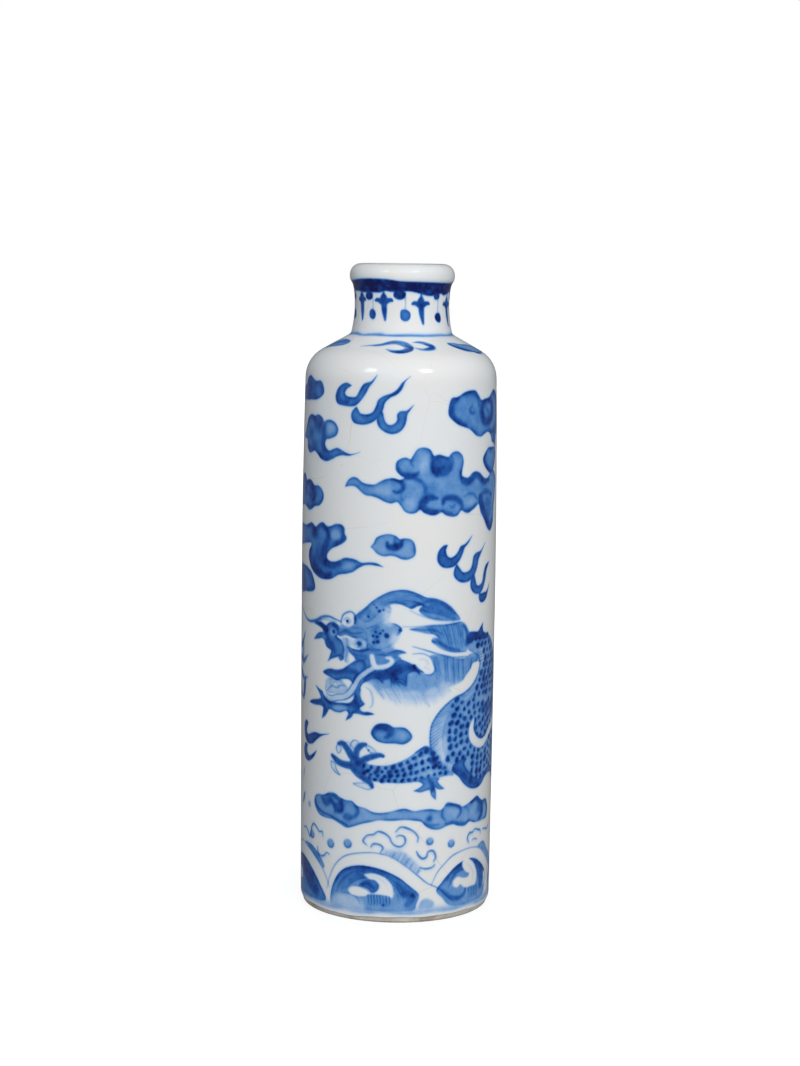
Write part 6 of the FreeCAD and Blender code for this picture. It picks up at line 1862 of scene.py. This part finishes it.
def footBiscuit(look):
    # Bare turned foot: beige biscuit with rings left by the turning tool, kiln grit, toasted patches
    #     # and a painted shade that darkens the edge where it stands.
    material, tree = newMaterial("bare turned foot")
    where = addNode(tree, "ShaderNodeTexCoord").outputs["Object"]
    height = addNode(tree, "ShaderNodeSeparateXYZ", [where]).outputs["Z"]
    spread = {"Vector": where, "Scale": perMm(look["patchSize"]), "Detail": 4.0, "Roughness": 0.6}
    patches = addNode(tree, "ShaderNodeTexNoise", spread)
    colour = addNode(tree, "ShaderNodeValToRGB", [patches])
    rampStops(colour, [(0.34, look["burnt"]), (0.46, look["clay"]), (0.66, look["pale"])])
    grains = {"Vector": where, "Scale": perMm(look["gritSize"]), "Detail": 3.0, "Roughness": 0.65}
    grain = addNode(tree, "ShaderNodeTexNoise", grains)
    dirty = addNode(tree, "ShaderNodeMapRange", [grain, 0.6, 0.76, 0.0, 0.55])
    laid = {0: dirty, 6: colour, 7: linearColour(look["grime"])}
    colour = addNode(tree, "ShaderNodeMix", laid, data_type="RGBA").outputs[2]
    # painted contact shade: darker towards the edge it stands on, in patches, where the floor would shade it
    low = addNode(tree, "ShaderNodeMapRange", [height, 0.0, look["contactDark"] * mm, 0.95, 0.0])
    patchy = addNode(tree, "ShaderNodeMapRange", [patches, 0.3, 0.5, 1.0, 0.6])
    contactShade = addNode(tree, "ShaderNodeMath", [low, patchy], operation="MULTIPLY")
    laid = {0: contactShade, 6: colour, 7: linearColour(look["contactShade"])}
    colour = addNode(tree, "ShaderNodeMix", laid, data_type="RGBA").outputs[2]
    bands = {"Vector": where, "Scale": look["bandShare"] / (look["toolPitch"] * mm), "Distortion": 1.5}
    rings = addNode(tree, "ShaderNodeTexWave", bands, bands_direction="Z").outputs["Fac"]
    rough = addNode(tree, "ShaderNodeMath", [rings, grain], operation="ADD")
    relief = {"Height": rough, "Strength": 0.6, "Distance": look["toolDepth"] * mm}
    finish = {
        "Base Color": colour,
        "Roughness": addNode(tree, "ShaderNodeMapRange", [grain, 0.3, 0.7, *look["roughness"]]),
        "IOR": look["ior"],
        "Normal": addNode(tree, "ShaderNodeBump", relief),
    }
    shader = addNode(tree, "ShaderNodeBsdfPrincipled", finish)
    addNode(tree, "ShaderNodeOutputMaterial", {"Surface": shader})
    return material


baseLook = {
    "white": "#E3E6E6",
    "cloudSize": 4.0,
    "waveHeight": 0.05,
    "pooled": "#D3DEE2",
    "poolInner": 7.8,  # radii between which the glaze grows thick
    "poolOuter": 9.3,
    "pinhole": "#5A4A44",
    "pinholeSpacing": 1.9,
    "roughness": 0.3,
    "coatRoughness": 0.05,
    "ior": 1.5,
}


def recessGlaze(look):
    # The same clear glaze on the bare white base: slightly blue where it pooled, with pinholes.
    material, tree = newMaterial("clear glaze in the recess")
    where = addNode(tree, "ShaderNodeTexCoord").outputs["Object"]
    flat = addNode(tree, "ShaderNodeVectorMath", [where, (1, 1, 0)], operation="MULTIPLY")
    radius = addNode(tree, "ShaderNodeVectorMath", [flat], operation="LENGTH").outputs["Value"]
    clouds = {"Vector": where, "Scale": perMm(look["cloudSize"]), "Detail": 3.0}
    cloud = addNode(tree, "ShaderNodeTexNoise", clouds)
    corner = [radius, look["poolInner"] * mm, look["poolOuter"] * mm, 0.0, 0.7]
    corner = addNode(tree, "ShaderNodeMapRange", corner)
    patchy = addNode(tree, "ShaderNodeMapRange", [cloud, 0.45, 0.7, 0.0, 0.4])
    pooled = addNode(tree, "ShaderNodeMath", [corner, patchy], operation="ADD")
    laid = {0: pooled, 6: linearColour(look["white"]), 7: linearColour(look["pooled"])}
    colour = addNode(tree, "ShaderNodeMix", laid, data_type="RGBA").outputs[2]
    dots = addNode(tree, "ShaderNodeTexVoronoi", {"Vector": where, "Scale": perMm(look["pinholeSpacing"])})
    holes = addNode(tree, "ShaderNodeMapRange", [dots, 0.03, 0.07, 0.7, 0.0])
    laid = {0: holes, 6: colour, 7: linearColour(look["pinhole"])}
    colour = addNode(tree, "ShaderNodeMix", laid, data_type="RGBA").outputs[2]
    waves = {"Height": cloud, "Strength": 0.5, "Distance": look["waveHeight"] * mm}
    wave = addNode(tree, "ShaderNodeBump", waves)
    finish = {
        "Base Color": colour,
        "Roughness": look["roughness"],
        "IOR": look["ior"],
        "Normal": wave,
        "Coat Weight": 1.0,
        "Coat Roughness": look["coatRoughness"],
        "Coat Normal": wave,
    }
    shader = addNode(tree, "ShaderNodeBsdfPrincipled", finish)
    addNode(tree, "ShaderNodeOutputMaterial", {"Surface": shader})
    return material


def standFor(piece, node):
    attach(piece, "root")
    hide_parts(node)


glazeMaterial = paintedGlaze(glazeLook)
clayMaterial = firedBody(bodyLook)
footMaterial = footBiscuit(footLook)
recessMaterial = recessGlaze(baseLook)
for name in ("body_wall", "base_disc", "neck_collar", "mouth_lip"):
    nodes[name].data.materials.clear()
    nodes[name].data.materials.append(clayMaterial)
print("materials made")

faceTree = paintedTree(paint)
faces = treeFaces(faceTree, paint)
backFaces = treeFaces(borderTree(faceTree), paint * 0)
for number in range(sheet["sectors"]):
    skin = skinSector(number, faces, backFaces, paint)
    skin.data.materials.append(glazeMaterial)
    standFor(skin, "glaze_coat")
    print(f"skin {number + 1}: {len(skin.data.polygons)} triangles")

# The foot ring, turned by a tree: a section swept round the axis, rippled, with kiln grit on its bare face.
foot = {
    "middle": 10.6,  # radius that the section is swept at
    "inner": 9.5,
    "contact": 11.62,
    "glazeRadius": 11.72,
    "top": 1.6,
    "edge": 0.2,
    "cuts": 6,  # faces along each side of the section
    "segments": 320,
    "ripple": 0.025,
    "rippleSize": 1.6,
    "gritCount": 900,
    "gritStep": 2.0e4,  # grains to a square metre for each step of the tree's Grit input
    "gritSize": 0.035,
    "gritLow": 0.12,
    "gritHigh": 0.62,
    "seed": 7,
}


def footSection(f):
    # the section's outline, radius from the middle and height, clockwise so that the sweep faces outwards
    cuts, edge = f["cuts"], f["edge"]
    outer, inner = f["contact"] - f["middle"], f["inner"] - f["middle"]
    widen, rise = f["glazeRadius"] - f["middle"] - outer, f["top"] - edge
    turn = np.linspace(-math.pi / 2, 0, cuts + 1)
    low = [(outer - edge + edge * math.cos(t), edge + edge * math.sin(t)) for t in turn]
    side = [(outer + widen * k / cuts, edge + rise * k / cuts) for k in range(1, cuts + 1)]
    back = [(inner, f["top"] - rise * k / cuts) for k in range(cuts + 1)]
    turn = np.linspace(0, math.pi / 2, cuts + 1)[1:]
    heel = [(inner + edge - edge * math.cos(t), edge - edge * math.sin(t)) for t in turn]
    under = [(inner + edge + (outer - inner - 2 * edge) * k / cuts, 0.0) for k in range(1, cuts)]
    return (low + side + back + heel + under)[::-1]


def turnedTree(f, material):
    tree = bpy.data.node_groups.new("turned ring", "GeometryNodeTree")
    sockets = tree.interface
    sockets.new_socket("Section", in_out="INPUT", socket_type="NodeSocketGeometry")
    kinds = {
        "Radius": "NodeSocketFloat",
        "Segments": "NodeSocketInt",
        "Ripple": "NodeSocketFloat",
        "Grit": "NodeSocketInt",
        "Grit size": "NodeSocketFloat",
        "Grit low": "NodeSocketFloat",
        "Grit high": "NodeSocketFloat",
        "Seed": "NodeSocketInt",
    }
    inputs = {}
    for name, kind in kinds.items():
        inputs[name] = sockets.new_socket(name, in_out="INPUT", socket_type=kind).identifier
    sockets.new_socket("Ring", in_out="OUTPUT", socket_type="NodeSocketGeometry")
    given = addNode(tree, "NodeGroupInput").outputs
    circle = {"Resolution": given["Segments"], "Radius": given["Radius"]}
    circle = addNode(tree, "GeometryNodeCurvePrimitiveCircle", circle)
    section = addNode(tree, "GeometryNodeMeshToCurve", {"Mesh": given["Section"]})
    swept = addNode(tree, "GeometryNodeCurveToMesh", {"Curve": circle, "Profile Curve": section})
    # ripples push the surface in and out, never up or down
    place = addNode(tree, "GeometryNodeInputPosition").outputs[0]
    lumps = addNode(tree, "ShaderNodeTexNoise", {"Vector": place, "Scale": perMm(f["rippleSize"])})
    lumps = addNode(tree, "ShaderNodeMath", [lumps, 0.5], operation="SUBTRACT")
    lumps = addNode(tree, "ShaderNodeMath", [lumps, given["Ripple"]], operation="MULTIPLY")
    normal = addNode(tree, "GeometryNodeInputNormal").outputs[0]
    shift = addNode(tree, "ShaderNodeVectorMath", {0: normal, "Scale": lumps}, operation="SCALE")
    level = addNode(tree, "ShaderNodeVectorMath", [shift, (1, 1, 0)], operation="MULTIPLY")
    moved = addNode(tree, "GeometryNodeSetPosition", {0: swept, "Offset": level})
    smooth = addNode(tree, "GeometryNodeSetShadeSmooth", [moved])
    # kiln grit on the bare band
    height = addNode(tree, "ShaderNodeSeparateXYZ", [place]).outputs["Z"]
    above = addNode(tree, "FunctionNodeCompare", [height, given["Grit low"]], operation="GREATER_THAN")
    below = addNode(tree, "FunctionNodeCompare", [height, given["Grit high"]], operation="LESS_THAN")
    band = addNode(tree, "FunctionNodeBooleanMath", [above, below], operation="AND")
    density = addNode(tree, "ShaderNodeMath", [given["Grit"], f["gritStep"]], operation="MULTIPLY")
    spread = {0: smooth, "Selection": band, "Density": density, "Seed": given["Seed"]}
    points = addNode(tree, "GeometryNodeDistributePointsOnFaces", spread)
    ball = {"Radius": given["Grit size"], "Subdivisions": 1}
    ball = addNode(tree, "GeometryNodeMeshIcoSphere", ball)
    chances = {2: 0.35, 3: 1.0, "Seed": given["Seed"]}
    size = addNode(tree, "FunctionNodeRandomValue", chances, data_type="FLOAT").outputs[1]
    thrown = {"Points": points, "Instance": ball, "Scale": size}
    grit = addNode(tree, "GeometryNodeInstanceOnPoints", thrown)
    grit = addNode(tree, "GeometryNodeRealizeInstances", [grit])
    joined = addNode(tree, "GeometryNodeJoinGeometry")
    for part in (grit, smooth):
        tree.links.new(part.outputs[0], joined.inputs[0])
    done = addNode(tree, "GeometryNodeSetMaterial", {0: joined, "Material": material})
    addNode(tree, "NodeGroupOutput", [done])
    return tree, inputs


def turnedFoot(f):
    section = footSection(f)
    mesh = bpy.data.meshes.new("footSection")
    edges = [(k, (k + 1) % len(section)) for k in range(len(section))]
    mesh.from_pydata([(x * mm, -y * mm, 0) for x, y in section], edges, [])
    start = bpy.data.objects.new("footSection", mesh)
    bpy.context.collection.objects.link(start)
    tree, inputs = turnedTree(f, footMaterial)
    modifier = start.modifiers.new("turned ring", "NODES")
    modifier.node_group = tree
    area = 2 * math.pi * f["contact"] * (f["gritHigh"] - f["gritLow"]) * mm * mm
    settings = {
        "Radius": f["middle"] * mm,
        "Segments": f["segments"],
        "Ripple": f["ripple"] * mm,
        "Grit": round(f["gritCount"] / area / f["gritStep"]),
        "Grit size": f["gritSize"] * mm,
        "Grit low": f["gritLow"] * mm,
        "Grit high": f["gritHigh"] * mm,
        "Seed": f["seed"],
    }
    for name, value in settings.items():
        modifier[inputs[name]] = value
    bpy.context.view_layer.update()
    made = bpy.data.meshes.new_from_object(start.evaluated_get(bpy.context.evaluated_depsgraph_get()))
    start.modifiers.clear()
    bpy.data.objects.remove(start)
    piece = bpy.data.objects.new("turned_foot", made)
    bpy.context.collection.objects.link(piece)
    return piece


ring = turnedFoot(foot)
standFor(ring, "foot_ring")
levels = [vertex.co.z / mm for vertex in ring.data.vertices]
print(f"foot: {len(ring.data.polygons)} faces, {min(levels):.3f} to {max(levels):.3f} mm high")

# The glaze in the recess: a shallow dished disc with a fillet where it meets the ring.
recess = {
    "radius": 9.48,
    "top": 1.6,
    "level": 1.4,
    "dish": 0.06,
    "fillet": 0.35,
    "rings": 43,
    "filletRings": 7,
    "turningPitch": 1.5,
    "turningDepth": 0.012,
    "segments": 160,
}


def recessDisc(r):
    flat = np.linspace(0, r["radius"] - r["fillet"], r["rings"] + 1)[1:]
    turn = np.linspace(0, math.pi / 2, r["filletRings"] + 1)[1:]
    radii = list(flat) + [r["radius"] - r["fillet"] + r["fillet"] * math.sin(t) for t in turn]
    radii.append(r["radius"])
    heights = []
    for a in flat:
        dished = r["level"] + r["dish"] * (1 - (a / r["radius"]) ** 2)
        heights.append(dished + r["turningDepth"] * math.sin(2 * math.pi * a / r["turningPitch"]))
    heights += [r["level"] - r["fillet"] * (1 - math.cos(t)) for t in turn]
    heights.append(r["top"])
    count = r["segments"]
    places = [(0, 0, (r["level"] + r["dish"]) * mm)]
    for a, z in zip(radii, heights):
        for k in range(count):
            angle = 2 * math.pi * k / count
            places.append((a * math.cos(angle) * mm, a * math.sin(angle) * mm, z * mm))
    places.append((0, 0, r["top"] * mm))
    wanted = []
    for k in range(count):
        after = (k + 1) % count
        wanted.append((0, 1 + after, 1 + k))
        for row in range(len(radii) - 1):
            one, other = 1 + row * count, 1 + (row + 1) * count
            wanted.append((one + k, one + after, other + after, other + k))
        last = 1 + (len(radii) - 1) * count
        wanted.append((len(places) - 1, last + k, last + after))
    mesh = bpy.data.meshes.new("recessGlaze")
    mesh.from_pydata(places, [], wanted)
    for face in mesh.polygons:
        face.use_smooth = True
    piece = bpy.data.objects.new("recess_glaze", mesh)
    bpy.context.collection.objects.link(piece)
    return piece


disc = recessDisc(recess)
disc.data.materials.append(recessMaterial)
standFor(disc, "base_glaze")
print("foot and recess made")

# The camera as fitted to the photograph, in millimetres and degrees.
camera = {
    "place": (0.107, -284.59, 83.12),
    "down": 7.310,
    "roll": 0.7213,
    "lens": 77.67,
    "sensor": 36.0,
    "near": 0.01,  # metres
    "far": 20.0,
}


def setCamera(c):
    down, roll = math.radians(c["down"]), math.radians(c["roll"])
    ahead = Vector((0, math.cos(down), -math.sin(down)))
    upright = Vector((0, math.sin(down), math.cos(down)))
    level = Vector((1, 0, 0))
    right = level * math.cos(roll) + upright * math.sin(roll)
    up = upright * math.cos(roll) - level * math.sin(roll)
    lens = bpy.data.cameras.new("camera")
    lens.lens, lens.sensor_width = c["lens"], c["sensor"]
    lens.clip_start, lens.clip_end = c["near"], c["far"]
    eye = bpy.data.objects.new("camera", lens)
    turn = Matrix((right, up, -ahead)).transposed().to_4x4()
    eye.matrix_world = Matrix.Translation(Vector(c["place"]) * mm) @ turn
    bpy.context.collection.objects.link(eye)
    bpy.context.scene.camera = eye


setCamera(camera)

# Light and ground, in metres and watts.
stageLook = {
    "floorSize": 3.0,
    "worldLight": 0.34,
    "worldTint": "#DDE3EA",
    "mirrored": 0.14,  # how bright the white ground is in the glaze's mirror
    "white": "#FFFFFF",
    "paper": "#808080",
    "paperGlow": 0.84,
    "glowNear": 0.014,
    "glowFar": 0.05,
    "aim": (0, 0, 0.045),
    "lamps": [  # name, place, size, power, tint, whether the glaze mirrors it
        ("frontSoft", (0.14, -0.76, 0.4), 0.7, 5.45, "#FFFFFF", False),
        ("sparkLeft", (-0.56, -0.62, 0.72), 0.24, 1.05, "#FFFFFF", True),
        ("sparkRight", (0.46, -0.66, 0.72), 0.24, 1.05, "#FFFFFF", True),
        ("rightFill", (0.88, -0.24, 0.4), 0.5, 0.8, "#FFFFFF", False),
        ("leftCard", (-0.9, 0.12, 0.12), 0.7, 0.75, "#9CC4EE", True),
        ("backSoft", (-0.1, 0.9, 0.5), 0.7, 5.0, "#FFFFFF", False),
    ],
}


def seenRays(tree):
    # the rays that meet the white ground as the camera does, and those of the glaze's mirror
    paths = addNode(tree, "ShaderNodeLightPath").outputs
    seen = [paths["Is Camera Ray"], paths["Is Transmission Ray"]]
    return addNode(tree, "ShaderNodeMath", seen, operation="MAXIMUM"), paths["Is Glossy Ray"]


def setWorld(look):
    world = bpy.data.worlds.new("studio")
    bpy.context.scene.world = world
    world.use_nodes = True
    tree = world.node_tree
    tree.nodes.clear()
    seen, glossy = seenRays(tree)
    level = [glossy, 0.0, 1.0, look["worldLight"], look["mirrored"]]
    level = addNode(tree, "ShaderNodeMapRange", level)
    dim = addNode(tree, "ShaderNodeBackground", [linearColour(look["worldTint"]), level])
    white = addNode(tree, "ShaderNodeBackground", [linearColour(look["white"]), 1.0])
    mixed = addNode(tree, "ShaderNodeMixShader", [seen, dim, white])
    addNode(tree, "ShaderNodeOutputWorld", {"Surface": mixed})


def setLamps(look):
    for name, place, size, power, tint, mirrored in look["lamps"]:
        lamp = bpy.data.lights.new(name, "AREA")
        lamp.size = size
        lamp.energy = power
        lamp.color = linearColour(tint)[:3]
        holder = bpy.data.objects.new(name, lamp)
        holder.location = place
        holder.visible_glossy = mirrored
        aim = Vector(look["aim"]) - Vector(place)
        holder.rotation_euler = aim.to_track_quat("-Z", "Y").to_euler()
        bpy.context.collection.objects.link(holder)


def setFloor(look):
    # white paper that glows for the camera away from the bottle, and keeps its shadow near it
    half = look["floorSize"] / 2
    corners = [(-half, -half, 0), (half, -half, 0), (half, half, 0), (-half, half, 0)]
    mesh = bpy.data.meshes.new("floor")
    mesh.from_pydata(corners, [], [(0, 1, 2, 3)])
    floor = bpy.data.objects.new("floor", mesh)
    bpy.context.collection.objects.link(floor)
    material, tree = newMaterial("white studio paper")
    where = addNode(tree, "ShaderNodeTexCoord").outputs["Object"]
    away = addNode(tree, "ShaderNodeVectorMath", [where], operation="LENGTH").outputs["Value"]
    seen, glossy = seenRays(tree)
    fade = [away, look["glowNear"], look["glowFar"], look["paperGlow"], 1.0]
    fade = addNode(tree, "ShaderNodeMapRange", fade)
    glow = addNode(tree, "ShaderNodeMath", [seen, fade], operation="MULTIPLY")
    light = addNode(tree, "ShaderNodeEmission", [linearColour(look["white"]), glow])
    paper = addNode(tree, "ShaderNodeBsdfDiffuse", [linearColour(look["paper"])])
    lit = addNode(tree, "ShaderNodeAddShader", [paper, light])
    dim = addNode(tree, "ShaderNodeEmission", [linearColour(look["white"]), look["mirrored"]])
    shader = addNode(tree, "ShaderNodeMixShader", [glossy, lit, dim])
    addNode(tree, "ShaderNodeOutputMaterial", {"Surface": shader})
    floor.data.materials.append(material)


bpy.context.scene.view_settings.view_transform = "Standard"
setWorld(stageLook)
setLamps(stageLook)
setFloor(stageLook)
print("camera, lamps and floor set")
